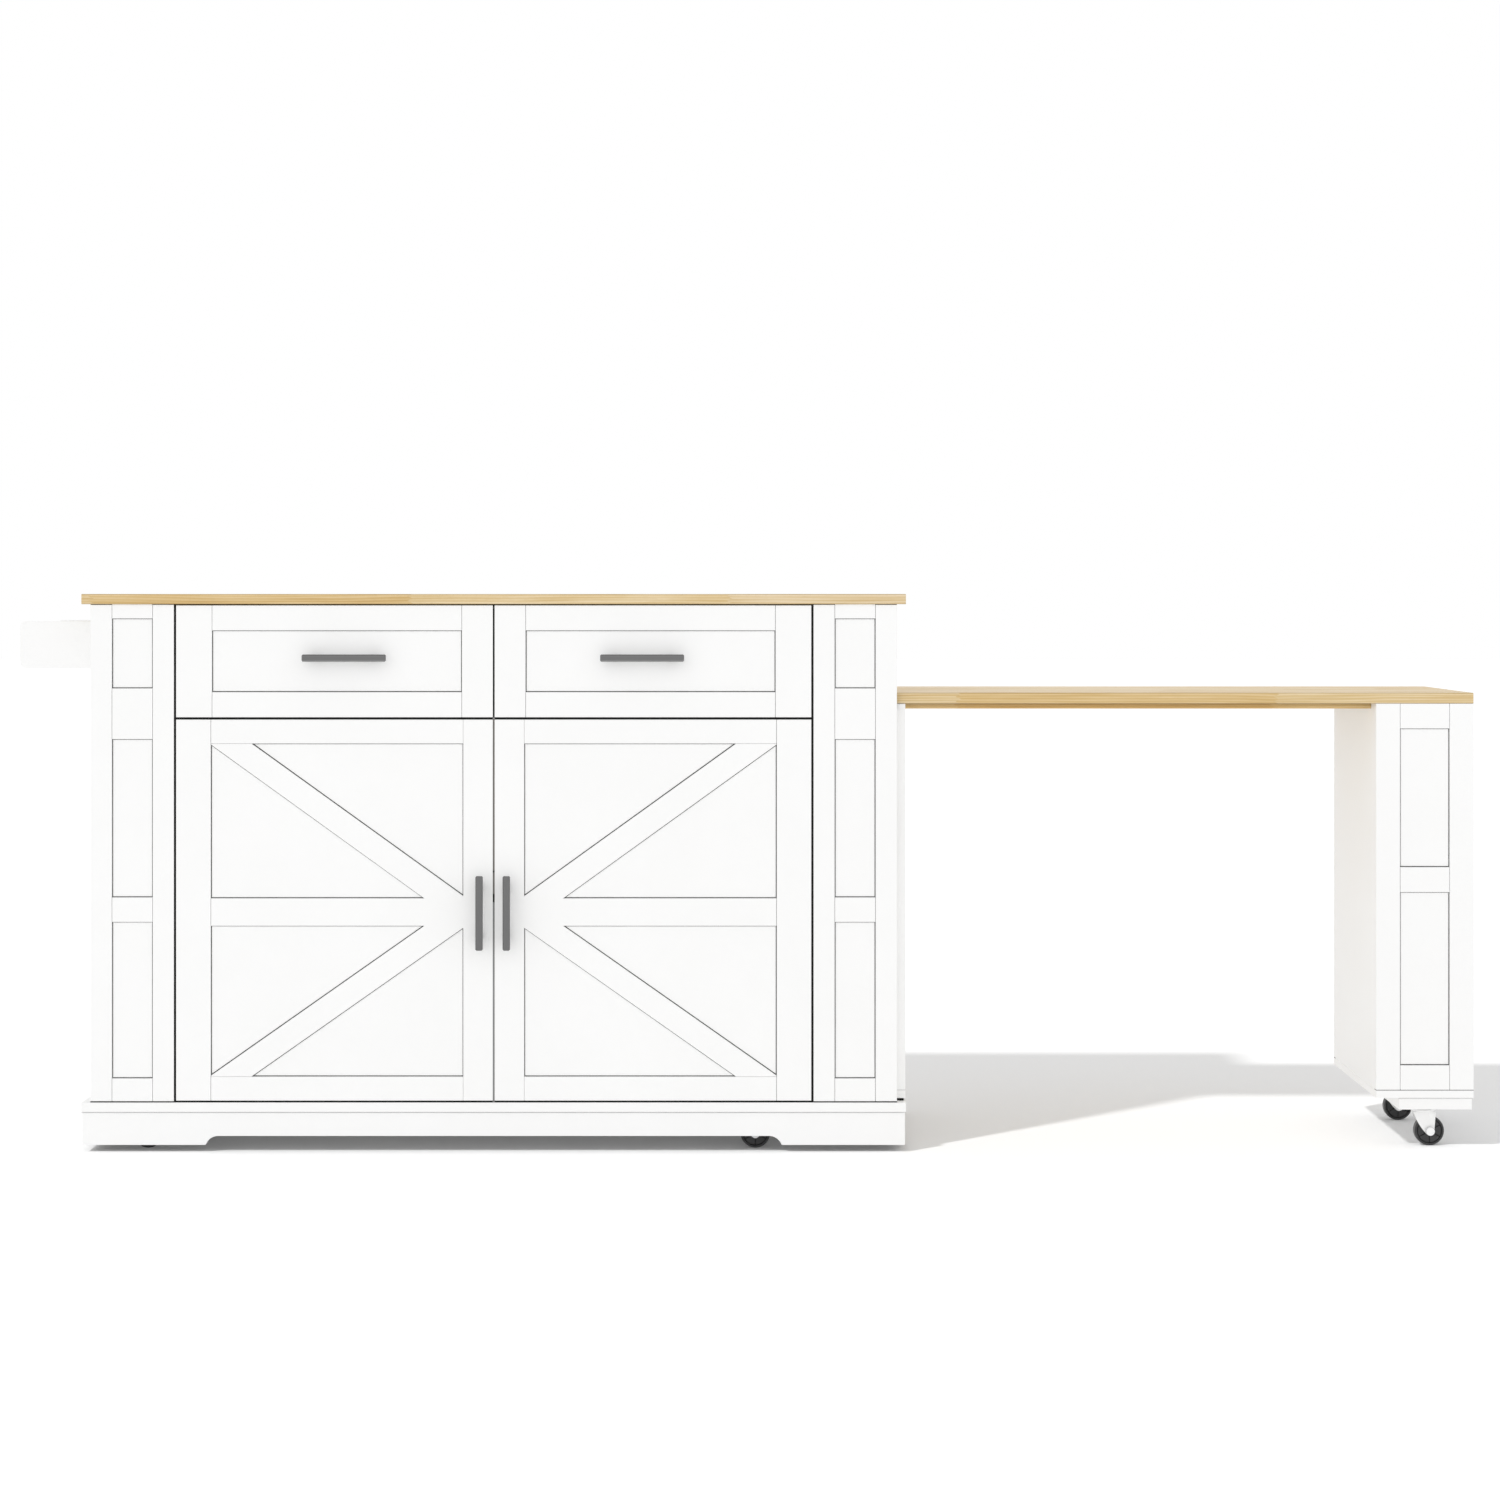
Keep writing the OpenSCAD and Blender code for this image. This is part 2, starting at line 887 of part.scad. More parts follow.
// A flat bar's outline with its two front corners bevelled
module bar_outline(half, y0, y1) {
    b = handle_bevel;
    polygon([
        [-half + b, y0], [half - b, y0], [half, y0 + b],
        [half, y1], [-half, y1], [-half, y0 + b]
    ]);
}

// A level bar along X, bevelled along its front edges and at its ends, on two round
// feet. It is centred on X = 0 and Z = 0 and stands toward -Y on a face at Y = 0
module bar_handle(l) {
    foot_x = l / 2 - handle_foot_inset;
    y0 = -handle_reach;
    y1 = y0 + handle_bar_t;
    intersection() {
        translate([0, 0, -handle_bar_w / 2])
            linear_extrude(handle_bar_w)
                bar_outline(l / 2, y0, y1);
        translate([l / 2, 0, 0])
            rotate([0, -90, 0])
                linear_extrude(l)
                    bar_outline(handle_bar_w / 2, y0, y1);
    }
    for (x = [-foot_x, foot_x])
        translate([x, 0, 0])
            rotate([90, 0, 0])
                cylinder(d = handle_foot_d, h = handle_reach - handle_bar_t);
}

module drawer_handle(side) {
    color(bar_grey)
        in_plan()
            on_side(side)
                translate([drawer_handle_x, panel_y, drawer_z1 - drawer_handle_drop])
                    bar_handle(drawer_handle_l);
}

module door_handle(side) {
    color(bar_grey)
        in_plan()
            on_side(side)
                translate([door_handle_x, face_y, door_mid_z + door_mid_rail / 2])
                    rotate([0, 90, 0])
                        bar_handle(door_handle_l);
}

module left_drawer_handle() {
    drawer_handle("left");
}

module right_drawer_handle() {
    drawer_handle("right");
}

module left_door_handle() {
    door_handle("left");
}

module right_door_handle() {
    door_handle("right");
}

// Pull-out table

module table_top() {
    color(oak)
        in_plan()
            board([table_x0, table_y0, table_z], [table_x1, table_y1, table_h]);
}

module table_battens() {
    color(oak)
        in_plan()
            for (y = [table_y0 + batten_inset, table_y1 - batten_inset - batten_w])
                board([table_x0, y, batten_z], [leg_x0, y + batten_w, table_z]);
}

// The framed front of the leg box: a flat panel with two stiles and three rails
module leg_front() {
    in0 = leg_x0 + leg_stile;
    in1 = table_x1 - leg_stile;
    y1 = table_y0 + trim_t;
    low = leg_panel_z + leg_rail;
    mid = low + leg_lower_recess;
    board([leg_x0, y1, leg_panel_z], [table_x1, y1 + face_panel_t, table_z]);
    for (x = [leg_x0, in1])
        board([x, table_y0, leg_panel_z], [x + leg_stile, y1, table_z]);
    for (z = [leg_panel_z, mid, table_z - leg_rail])
        board([in0, table_y0, z], [in1, y1, z + leg_rail]);
}

module leg_box_fronts() {
    color(paint)
        in_plan() {
            leg_front();
            translate([0, table_y0 + table_y1, 0])
                mirror([0, 1, 0])
                    leg_front();
        }
}

module leg_box_sides() {
    y0 = table_y0 + trim_t + face_panel_t;
    y1 = table_y1 - trim_t - face_panel_t;
    color(paint)
        in_plan()
            for (x = [leg_x0, table_x1 - board_t])
                board([x, y0, leg_panel_z], [x + board_t, y1, table_z]);
}

module leg_box_base() {
    color(paint)
        in_plan()
            board([leg_x0, table_y0, leg_z], [table_x1, table_y1, leg_panel_z]);
}

module caster_board() {
    color(paint)
        in_plan()
            board([leg_x0 + caster_board_left, table_y0 + caster_board_inset, caster_h],
                  [table_x1 - caster_board_right, table_y1 - caster_board_inset, leg_z]);
}

// The fixed panel that the leg box closes against, with a base strip like the leg
// box's own, notched where the battens run over it
module side_support_panel() {
    x0 = body_x;
    x1 = worktop_w / 2;
    color(paint)
        in_plan() {
            board([x0, table_y0, floor_z + support_gap], [x1, table_y1, leg_panel_z]);
            difference() {
                board([x0, table_y0, leg_panel_z], [x1, table_y1, table_z - slide_gap]);
                for (y = [table_y0 + batten_inset, table_y1 - batten_inset - batten_w])
                    board([x0 - over, y - over, bed_top], [x1 + over, y + batten_w + over, table_z]);
            }
        }
}

// Side rack

module rack_end_boards() {
    r = rack_corner_r;
    x0 = -body_x - rack_reach;
    color(paint)
        in_plan()
            for (y = [rack_front, rack_front + rack_len - board_t]) {
                board([x0 + r, y, rack_z0], [-body_x, y + board_t, rack_z1]);
                board([x0, y, rack_z0 + r], [x0 + r, y + board_t, rack_z1 - r]);
                for (z = [rack_z0 + r, rack_z1 - r])
                    translate([x0 + r, y, z])
                        rotate([-90, 0, 0])
                            cylinder(r = r, h = board_t);
            }
}

module rack_tray() {
    x0 = -body_x - rack_reach + rack_corner_r;
    y0 = rack_front + board_t;
    y1 = rack_front + rack_len - board_t;
    rail_z = rack_z0 + rack_tray_t + rack_rail_gap;
    color(paint)
        in_plan() {
            board([x0, y0, rack_z0], [-body_x, y1, rack_z0 + rack_tray_t]);
            board([x0, y0, rail_z], [x0 + rack_tray_t, y1, rail_z + rack_rail_h]);
        }
}

// Casters. Each is drawn with its swivel axis on X = 0, Y = 0 and its trail toward +X

// Mounting plate with four screw holes, upper race and riveted king pin
module caster_plate() {
    side = plate_w / 2;
    r = plate_corner_r;
    difference() {
        translate([0, 0, plate_z])
            union() {
                translate([-side + r, -side, 0])
                    cube([plate_w - 2 * r, plate_w, plate_t]);
                translate([-side, -side + r, 0])
                    cube([plate_w, plate_w - 2 * r, plate_t]);
                for (x = [-side + r, side - r], y = [-side + r, side - r])
                    translate([x, y, 0])
                        cylinder(r = r, h = plate_t);
            }
        for (x = [-plate_hole_x, plate_hole_x], y = [-plate_hole_x, plate_hole_x])
            translate([x, y, plate_z - over])
                cylinder(r = plate_hole_r, h = plate_t + 2 * over);
    }
    translate([0, 0, race_z])
        cylinder(r = race_r, h = race_t);
    translate([0, 0, king_z])
        cylinder(r = king_r, h = race_z - king_z);
    translate([0, 0, king_z - king_head_t])
        cylinder(r = king_head_r, h = king_head_t);
}

// A point on the bend from a through the pull point b to c
function bend_point(a, b, c, t) = pow(1 - t, 2) * a + 2 * t * (1 - t) * b + pow(t, 2) * c;

// A fork's arm seen from the side, around the swivel axis: it leaves the crown at its
// full width, bends in on the leading side and ends round the axle
module arm_outline() {
    axle = [caster_trail, wheel_r];
    lead = [-crown_r, crown_z0];
    pull = axle + [-boss_r * 2.7, boss_r * 1.3];
    tip = axle + boss_r * [cos(215), sin(215)];
    back = axle + [boss_r, 0];
    polygon(concat(
        [for (i = [0 : bend_steps]) bend_point(lead, pull, tip, i / bend_steps)],
        [axle, back, [crown_r, crown_z0]]
    ));
    translate(axle)
        circle(r = boss_r);
}

// The fork: a crown that turns on the king pin, two arms, and the riveted axle
module caster_fork() {
    arm_y = wheel_w / 2 + wheel_gap;
    difference() {
        union() {
            translate([0, 0, crown_z0])
                cylinder(r = crown_r, h = crown_t);
            for (y = [-arm_y, arm_y + arm_t])
                translate([0, y, 0])
                    rotate([90, 0, 0])
                        linear_extrude(arm_t)
                            arm_outline();
        }
        translate([0, 0, crown_z0 - over])
            cylinder(r = king_r + pin_clear, h = crown_t + 2 * over);
    }
    translate([caster_trail, arm_y + arm_t, wheel_r])
        rotate([90, 0, 0]) {
            cylinder(d = axle_d, h = 2 * (arm_y + arm_t));
            translate([0, 0, -axle_head_t])
                cylinder(r = axle_head_r, h = axle_head_t);
            translate([0, 0, 2 * (arm_y + arm_t)])
                cylinder(r = axle_head_r, h = axle_head_t);
        }
}

// The wheel: a hub, flat faces with a ring groove and radial grooves between sectors,
// and a crowned tread
module caster_wheel() {
    half = wheel_w / 2;
    face = half - wheel_face_step;
    floor_w = face - wheel_groove_t;
    ring0 = wheel_r - wheel_ring - wheel_groove_w / 2;
    ring1 = ring0 + wheel_groove_w;
    tread_r = wheel_r - tread_crown;
    tread_half = half - 2 * tread_crown;
    translate([caster_trail, 0, wheel_r])
        rotate([90, 0, 0])
            difference() {
                union() {
                    rotate_extrude($fn = 96)
                        polygon([
                            [hub_r - over, -face], [ring0, -face], [ring0, -floor_w],
                            [ring1, -floor_w], [ring1, -half], [tread_r, -half],
                            [wheel_r, -tread_half], [wheel_r, tread_half], [tread_r, half],
                            [ring1, half], [ring1, floor_w], [ring0, floor_w], [ring0, face],
                            [hub_r - over, face]
                        ]);
                    translate([0, 0, -half])
                        cylinder(r = hub_r, h = wheel_w);
                }
                for (i = [0 : wheel_sectors - 1], z = [-face - over, floor_w])
                    rotate([0, 0, 90 + 360 / wheel_sectors * i])
                        translate([hub_r + over, -wheel_groove_w / 2, z])
                            cube([ring1 - hub_r - 2 * over, wheel_groove_w,
                                  wheel_groove_t + over]);
                translate([0, 0, -half - over])
                    cylinder(r = axle_d / 2 + pin_clear, h = wheel_w + 2 * over);
            }
}

module caster_plates() {
    color(paint)
        in_plan()
            for (x = [main_stem_x0, main_stem_x1], y = [main_caster_y, main_stem_y1])
                translate([x, y, 0])
                    caster_plate();
}

module table_caster_plates() {
    color(paint)
        in_plan()
            for (y = [table_stem_y0, table_stem_y1])
                translate([table_stem_x, y, 0])
                    caster_plate();
}

module fork_at(x, y) {
    color(paint)
        in_plan()
            translate([x, y, 0])
                caster_fork();
}

module wheel_at(x, y) {
    color(wheel_grey)
        in_plan()
            translate([x, y, 0])
                caster_wheel();
}

module fork_front_left() {
    fork_at(main_stem_x0, main_caster_y);
}

module fork_front_right() {
    fork_at(main_stem_x1, main_caster_y);
}

module fork_back_left() {
    fork_at(main_stem_x0, main_stem_y1);
}

module fork_back_right() {
    fork_at(main_stem_x1, main_stem_y1);
}

module fork_table_front() {
    fork_at(table_stem_x, table_stem_y0);
}

module fork_table_back() {
    fork_at(table_stem_x, table_stem_y1);
}

module wheel_front_left() {
    wheel_at(main_stem_x0, main_caster_y);
}

module wheel_front_right() {
    wheel_at(main_stem_x1, main_caster_y);
}

module wheel_back_left() {
    wheel_at(main_stem_x0, main_stem_y1);
}

module wheel_back_right() {
    wheel_at(main_stem_x1, main_stem_y1);
}

module wheel_table_front() {
    wheel_at(table_stem_x, table_stem_y0);
}

module wheel_table_back() {
    wheel_at(table_stem_x, table_stem_y1);
}

worktop();
deck_board();
front_plinth();
side_plinths();
back_plinth();
left_post();
right_post();
left_side_panel();
right_side_panels();
back_panel();
table_bed();
side_partitions();
centre_partition();
drawer_walls();
shelves();
shelf_pins();
cabinet_runners();
hinge_plates();
magnetic_catch();
side_support_panel();
rack_end_boards();
rack_tray();
caster_plates();
left_door_panel();
left_door_trim();
left_door_handle();
left_door_hardware();
right_door_panel();
right_door_trim();
right_door_handle();
right_door_hardware();
left_drawer_front();
left_drawer_trim();
left_drawer_box();
left_drawer_handle();
left_drawer_runners();
right_drawer_front();
right_drawer_trim();
right_drawer_box();
right_drawer_handle();
right_drawer_runners();
table_top();
table_battens();
leg_box_sides();
leg_box_fronts();
leg_box_base();
caster_board();
table_caster_plates();
fork_front_left();
fork_front_right();
fork_back_left();
fork_back_right();
fork_table_front();
fork_table_back();
wheel_front_left();
wheel_front_right();
wheel_back_left();
wheel_back_right();
wheel_table_front();
wheel_table_back();
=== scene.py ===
"""The looks of a rolling kitchen island whose dining table is pulled out to the right.

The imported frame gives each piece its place, and the sizes named here are in metres.
X runs left to right, Y front to back and Z up.
"""
import logging
import math
from dataclasses import dataclass
from enum import Enum
from typing import ClassVar, Iterable, Sequence

import bmesh
import bpy
import numpy as np
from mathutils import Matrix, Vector


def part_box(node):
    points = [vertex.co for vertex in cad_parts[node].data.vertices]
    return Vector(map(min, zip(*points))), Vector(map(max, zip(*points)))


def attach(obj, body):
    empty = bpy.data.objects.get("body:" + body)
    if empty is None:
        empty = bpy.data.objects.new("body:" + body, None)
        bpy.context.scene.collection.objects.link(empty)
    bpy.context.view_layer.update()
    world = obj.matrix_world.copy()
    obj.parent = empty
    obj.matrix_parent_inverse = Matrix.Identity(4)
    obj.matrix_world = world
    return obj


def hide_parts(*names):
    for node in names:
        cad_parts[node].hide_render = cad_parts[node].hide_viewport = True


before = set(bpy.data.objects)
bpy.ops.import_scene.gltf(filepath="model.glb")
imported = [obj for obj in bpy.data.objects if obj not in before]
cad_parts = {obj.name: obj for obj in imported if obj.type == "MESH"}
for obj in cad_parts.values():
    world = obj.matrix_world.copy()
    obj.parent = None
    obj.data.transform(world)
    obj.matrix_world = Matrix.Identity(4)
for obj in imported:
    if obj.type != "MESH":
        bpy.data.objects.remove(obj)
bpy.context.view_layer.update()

LOG = logging.getLogger("kitchen_island")
SMOOTH_ANGLE = math.radians(32)
BEVEL_ANGLE = math.radians(28)
FLAT_ANGLE = math.radians(0.3)
MERGE_DISTANCE = 1e-6
LEVEL_TOLERANCE = 2e-4
FINE_EDGE = 0.0002
Piece = bpy.types.Object
Pair = tuple[float, float]
Point = Sequence[float]
Triple = tuple[float, float, float]
Colour = Triple
Area = tuple[float, float, float, float]


class Slot(Enum):
    """The record's material slots."""

    PAINT = "white_paint"
    BUTCHER_BLOCK = "butcher_block"
    PLYWOOD = "drawer_ply"
    HANDLE = "handle_metal"
    ZINC = "zinc_steel"
    FORK = "fork_paint"
    WHEEL = "wheel_rubber"
    CATCH = "catch_plastic"


class Side(Enum):
    """The two halves of the cabinet, with the sign of X that leads outward."""

    LEFT = -1
    RIGHT = 1

    @property
    def word(self) -> str:
        """The side's name as the frame's nodes write it."""
        return self.name.lower()


class Axis(Enum):
    """The direction that a slab's thickness, or a turned piece's axis, runs in."""

    X = 0
    Y = 1
    Z = 2


def corners(node: str) -> tuple[np.ndarray, np.ndarray]:
    """The lowest and the highest corner of a CAD node, as arrays."""
    low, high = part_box(node)
    return np.array(low, float), np.array(high, float)


def rectangle(u0: float, v0: float, u1: float, v1: float) -> np.ndarray:
    """The four corners of an upright rectangle in a plane."""
    return np.array([(u0, v0), (u1, v0), (u1, v1), (u0, v1)])


def around(turn: np.ndarray) -> np.ndarray:
    """Points on a circle of radius 1 at the given angles."""
    return np.stack([np.cos(turn), np.sin(turn)], -1)


def mirrored(values: np.ndarray, sign: float = 1.0) -> np.ndarray:
    """The values followed by the same in reverse, times a sign."""
    return np.concatenate([values, sign * values[::-1]])


def inset(outline: np.ndarray, distance: float) -> np.ndarray:
    """Moves each side of a convex outline inward and joins the sides again.

    Side i lies on the line n . p = n . p_i, with n its inward normal. The corner between
    two sides solves both lines after the distance is added to their right-hand sides.

    Args:
        outline: the corners in order, of shape (corners, 2).
        distance: how far each side moves.

    Returns:
        The new corners.
    """
    side = np.roll(outline, -1, axis=0) - outline
    turn = np.sign(np.cross(side[0], side[1]))
    normal = turn * np.stack([-side[:, 1], side[:, 0]], -1)
    normal /= np.linalg.norm(side, axis=1, keepdims=True)
    reach = (normal * outline).sum(1) + distance
    pairs = np.stack([np.roll(normal, 1, axis=0), normal], axis=1)
    return np.linalg.solve(pairs, np.stack([np.roll(reach, 1), reach], -1)[..., None])[..., 0]


def in_space(flat: np.ndarray, along: np.ndarray, axis: Axis) -> np.ndarray:
    """Sets points of a plane into space.

    Args:
        flat: points (..., 2) in the plane that the axis stands on.
        along: their places along the axis, of a shape that fits flat[..., 0].
        axis: the axis that the plane stands on.

    Returns:
        Points (..., 3); the plane's two coordinates keep the order X, Y, Z.
    """
    parts = [flat[..., 0], flat[..., 1]]
    parts.insert(axis.value, np.broadcast_to(along, flat.shape[:-1]))
    return np.stack(parts, axis=-1)


def stand(name: str, data: bpy.types.ID) -> Piece:
    """Makes an object of its data and puts it into the scene.

    Args:
        name: the object's name.
        data: its mesh, camera or lamp.

    Returns:
        The object.
    """
    made = bpy.data.objects.new(name, data)
    bpy.context.scene.collection.objects.link(made)
    return made


def smooth(name: str, mesh: bpy.types.Mesh) -> Piece:
    """Makes an object of a mesh, smooth where its faces meet at a flat angle.

    Args:
        name: the object's name.
        mesh: its mesh.

    Returns:
        The object.
    """
    mesh.shade_smooth()
    mesh.set_sharp_from_angle(angle=SMOOTH_ANGLE)
    return stand(name, mesh)


class Shells:
    """Closed surfaces that become one piece, held as arrays until the mesh is made."""

    def __init__(self) -> None:
        """Starts with no surface."""
        self.points: list[np.ndarray] = []
        self.faces: list[list[int]] = []
        self.marks: list[np.ndarray] = []
        self.total = 0

    def rings(self, rings: np.ndarray, closed: bool = False,
              marks: np.ndarray | None = None) -> "Shells":
        """Adds the surface that joins each ring of points to the next.

        Point i of ring r, point i + 1 of it and the same two of ring r + 1 make one
        four-sided face. The volume under the faces is the sum of a . (b x c) / 6 over
        their triangles, and where it is negative the faces are turned round.

        Args:
            rings: points of shape (rings, points in a ring, 3).
            closed: joins the last ring to the first, as on a tyre, and adds no ends.
            marks: one number per ring or per point, kept as the mesh's own "mark".

        Returns:
            Itself, so that calls can follow one another.
        """
        count, size = rings.shape[:2]
        grid = np.arange(count * size).reshape(count, size)
        first = grid if closed else grid[:-1]
        second = np.roll(grid, -1, axis=0)[:len(first)]
        quads = np.stack([first, np.roll(first, -1, 1), np.roll(second, -1, 1), second], -1)
        quads = quads.reshape(-1, 4)
        points = rings.reshape(-1, 3).astype(float)
        ends = [] if closed else [grid[0, ::-1], grid[-1]]
        fans = [np.stack([np.full(size - 2, e[0]), e[1:-1], e[2:]], -1) for e in ends]
        triangles = np.concatenate([quads[:, [0, 1, 2]], quads[:, [0, 2, 3]], *fans])
        a, b, c = (points[triangles[:, k]] - points.mean(0) for k in range(3))
        step = 1 if np.einsum("ij,ij->i", a, np.cross(b, c)).sum() > 0 else -1
        faces = quads[:, ::step].tolist() + [e[::step].tolist() for e in ends]
        self.faces += [[i + self.total for i in face] for face in faces]
        self.points.append(points)
        values = np.zeros(1) if marks is None else np.asarray(marks, float)
        values = values[:, None] if values.ndim == 1 and len(values) == count else values
        self.marks.append(np.broadcast_to(values, (count, size)).ravel())
        self.total += len(points)
        return self

    def slab(self, outline: np.ndarray, low: float, high: float,
             axis: Axis = Axis.Y) -> "Shells":
        """Carries an outline straight along an axis, with a mark from 0 to 1 on the way.

        Args:
            outline: its points in the plane that the axis stands on.
            low: where it starts along the axis.
            high: where it ends.
            axis: the axis.

        Returns:
            Itself.
        """
        flat = np.broadcast_to(outline, (2, *outline.shape))
        levels = np.array([low, high])[:, None]
        return self.rings(in_space(flat, levels, axis), marks=np.array([0.0, 1.0]))

    def board(self, area: Area, low: float, high: float, axis: Axis = Axis.Y) -> "Shells":
        """Adds a straight board that covers an area from low to high."""
        return self.slab(rectangle(*area), low, high, axis)

    def turned(self, profile: Sequence[Pair], centre: Point, steps: int) -> "Shells":
        """Adds a turned piece: each profile point goes round a line along Y.

        At angle t it lies radius (cos t, sin t) from the centre in X and Z.

        Args:
            profile: the radius and the place along Y of each point.
            centre: the point that the places are measured from.
            steps: points round the circle.

        Returns:
            Itself.
        """
        shape = np.array(profile, float)
        circle = around(np.linspace(0, 2 * math.pi, steps, endpoint=False))
        flat = shape[:, :1, None] * circle[None]
        return self.rings(in_space(flat, shape[:, 1:], Axis.Y) + np.array(centre, float))

    def piece(self, name: str) -> Piece:
        """Makes the mesh object.

        Args:
            name: the object's name.

        Returns:
            The object.
        """
        mesh = bpy.data.meshes.new(name)
        mesh.from_pydata(np.concatenate(self.points).tolist(), [], self.faces)
        mark = mesh.attributes.new("mark", "FLOAT", "POINT")
        mark.data.foreach_set("value", np.concatenate(self.marks).astype(np.float32))
        mesh.validate()
        return smooth(name, mesh)


def soften(piece: Piece, width: float, segments: int = 2) -> Piece:
    """Rounds the sharp edges of a piece, as sanding and paint do.

    Args:
        piece: the piece to finish.
        width: how far the round reaches from each edge.
        segments: faces across the round.

    Returns:
        The same piece.
    """
    bevel = piece.modifiers.new("soft_edges", "BEVEL")
    bevel.width = width
    bevel.segments = segments
    bevel.limit_method = "ANGLE"
    bevel.angle_limit = BEVEL_ANGLE
    bevel.harden_normals = True
    bevel.use_clamp_overlap = True
    return piece


def copy_of(node: str, name: str) -> Piece:
    """Copies a CAD node into a new mesh whose points are merged and flat faces whole.

    Args:
        node: the CAD node.
        name: the new piece's name.

    Returns:
        The new piece, at the node's place.
    """
    work = bmesh.new()
    work.from_mesh(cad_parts[node].data)
    bmesh.ops.remove_doubles(work, verts=work.verts, dist=MERGE_DISTANCE)
    bmesh.ops.dissolve_limit(work, angle_limit=FLAT_ANGLE, verts=work.verts, edges=work.edges)
    mesh = bpy.data.meshes.new(name)
    work.to_mesh(mesh)
    work.free()
    mesh.materials.clear()
    return smooth(name, mesh)


def face_facts(piece: Piece) -> list[np.ndarray]:
    """The normals and the middles of a piece's faces.

    Args:
        piece: the piece.

    Returns:
        Two arrays of shape (faces, 3).
    """
    facts = [np.empty(len(piece.data.polygons) * 3) for _ in range(2)]
    for values, key in zip(facts, ("normal", "center")):
        piece.data.polygons.foreach_get(key, values)
    return [values.reshape(-1, 3) for values in facts]


def set_marks(piece: Piece, values: np.ndarray) -> None:
    """Puts one mark per face in the place of the piece's earlier marks.

    Args:
        piece: the piece.
        values: the marks in the order of its faces.
    """
    held = piece.data.attributes
    if "mark" in held:
        held.remove(held["mark"])
    held.new("mark", "FLOAT", "FACE").data.foreach_set("value", values)


def mark_faces(piece: Piece, way: int, level: float) -> Piece:
    """Sets the mark to 1 on the flat faces that face one way along Y at one level, where the
    panel's finish paints shade.

    Args:
        piece: the piece to mark; marks that its faces have already are kept.
        way: 1 or -1, the way along Y that the faces look.
        level: their place along Y.

    Returns:
        The same piece.
    """
    normals, centres = face_facts(piece)
    off = np.abs(centres[:, 1] - level)
    there = (normals[:, 1] * way > 0.99) & (off < LEVEL_TOLERANCE)
    values = there.astype(np.float32)
    mark = piece.data.attributes.get("mark")
    if mark is not None and mark.domain == "FACE":
        kept = np.empty_like(values)
        mark.data.foreach_get("value", kept)
        values = np.maximum(values, kept)
    set_marks(piece, values)
    return piece


def fit(piece: Piece, body: str, finish: "Finish", replaces: Sequence[str] = ()) -> Piece:
    """Gives a piece its finish and its body, and reports it with the finish's slot.

    Args:
        piece: the piece, already in place.
        body: the CAD body that it rides on.
        finish: its finish.
        replaces: the CAD nodes that it stands for.

    Returns:
        The same piece.
    """
    piece.data.materials.clear()
    piece.data.materials.append(finish.material())
    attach(piece, body)
    if replaces:
        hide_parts(*replaces)
    LOG.info("%s rides on %s in %s", piece.name, body, finish.slot.value)
    return piece


def dress(node: str, name: str, body: str, finish: "Finish", edge: float,
          segments: int = 2) -> Piece:
    """Puts a softened copy in the place of a CAD node.

    Args:
        node: the CAD node.
        name: the copy's name.
        body: the body that it rides on.
        finish: its finish.
        edge: how far its edges are rounded.
        segments: faces across the round.

    Returns:
        The new piece.
    """
    return fit(soften(copy_of(node, name), edge, segments), body, finish, [node])


class Wire:
    """A node's output, on which arithmetic adds further nodes."""

    def __init__(self, sheet: "Sheet", socket: bpy.types.NodeSocket) -> None:
        """Keeps the socket and the sheet that it lies on."""
        self.sheet = sheet
        self.socket = socket

    def math(self, operation: str, other: object = 0.0, clamp: bool = False) -> "Wire":
        """One math node, fed with this wire and another value."""
        return self.sheet.node("ShaderNodeMath", {0: self, 1: other}, operation=operation,
                               use_clamp=clamp)[0]

    def __add__(self, other: object) -> "Wire":
        """The sum with a wire or a number."""
        return self.math("ADD", other)

    def __sub__(self, other: object) -> "Wire":
        """The difference from a wire or a number."""
        return self.math("SUBTRACT", other)

    def __mul__(self, other: object) -> "Wire":
        """The product with a wire or a number."""
        return self.math("MULTIPLY", other)

    def __truediv__(self, other: object) -> "Wire":
        """The quotient by a wire or a number."""
        return self.math("DIVIDE", other)

    def vector(self, operation: str, by: object) -> "Wire":
        """One vector math node, fed with this wire and another vector."""
        return self.sheet.node("ShaderNodeVectorMath", {0: self, 1: by},
                               operation=operation)[0]

    def remap(self, low: float, high: float, to_low: float = 0.0,
              to_high: float = 1.0) -> "Wire":
        """Carries the range low to high over to another, smoothly and with both ends held.

        Args:
            low: the value that becomes to_low.
            high: the value that becomes to_high.
            to_low: the result below low.
            to_high: the result above high.

        Returns:
            The new number.
        """
        return self.sheet.node("ShaderNodeMapRange",
                               {0: self, 1: low, 2: high, 3: to_low, 4: to_high},
                               interpolation_type="SMOOTHSTEP")[0]

    def ramp(self, stops: Sequence[tuple[float, Colour]]) -> "Wire":
        """A colour that follows this number.

        Args:
            stops: (place, colour) pairs along the range 0 to 1.

        Returns:
            The colour.
        """
        made = self.sheet.node("ShaderNodeValToRGB", {0: self})[0]
        keys = made.socket.node.color_ramp.elements
        while len(keys) < len(stops):
            keys.new(1.0)
        for key, (place, colour) in zip(keys, stops):
            key.position = place
            key.color = (*colour, 1.0)
        return made

    def noise(self, scale: object, detail: float, roughness: float) -> "Wire":
        """Soft noise from 0 to 1 over this vector.

        Args:
            scale: grains per unit.
            detail: how many finer layers it has.
            roughness: how strong each finer layer is.

        Returns:
            The noise.
        """
        return self.sheet.node("ShaderNodeTexNoise",
                               {"Vector": self, "Scale": scale, "Detail": detail,
                                "Roughness": roughness})[0]


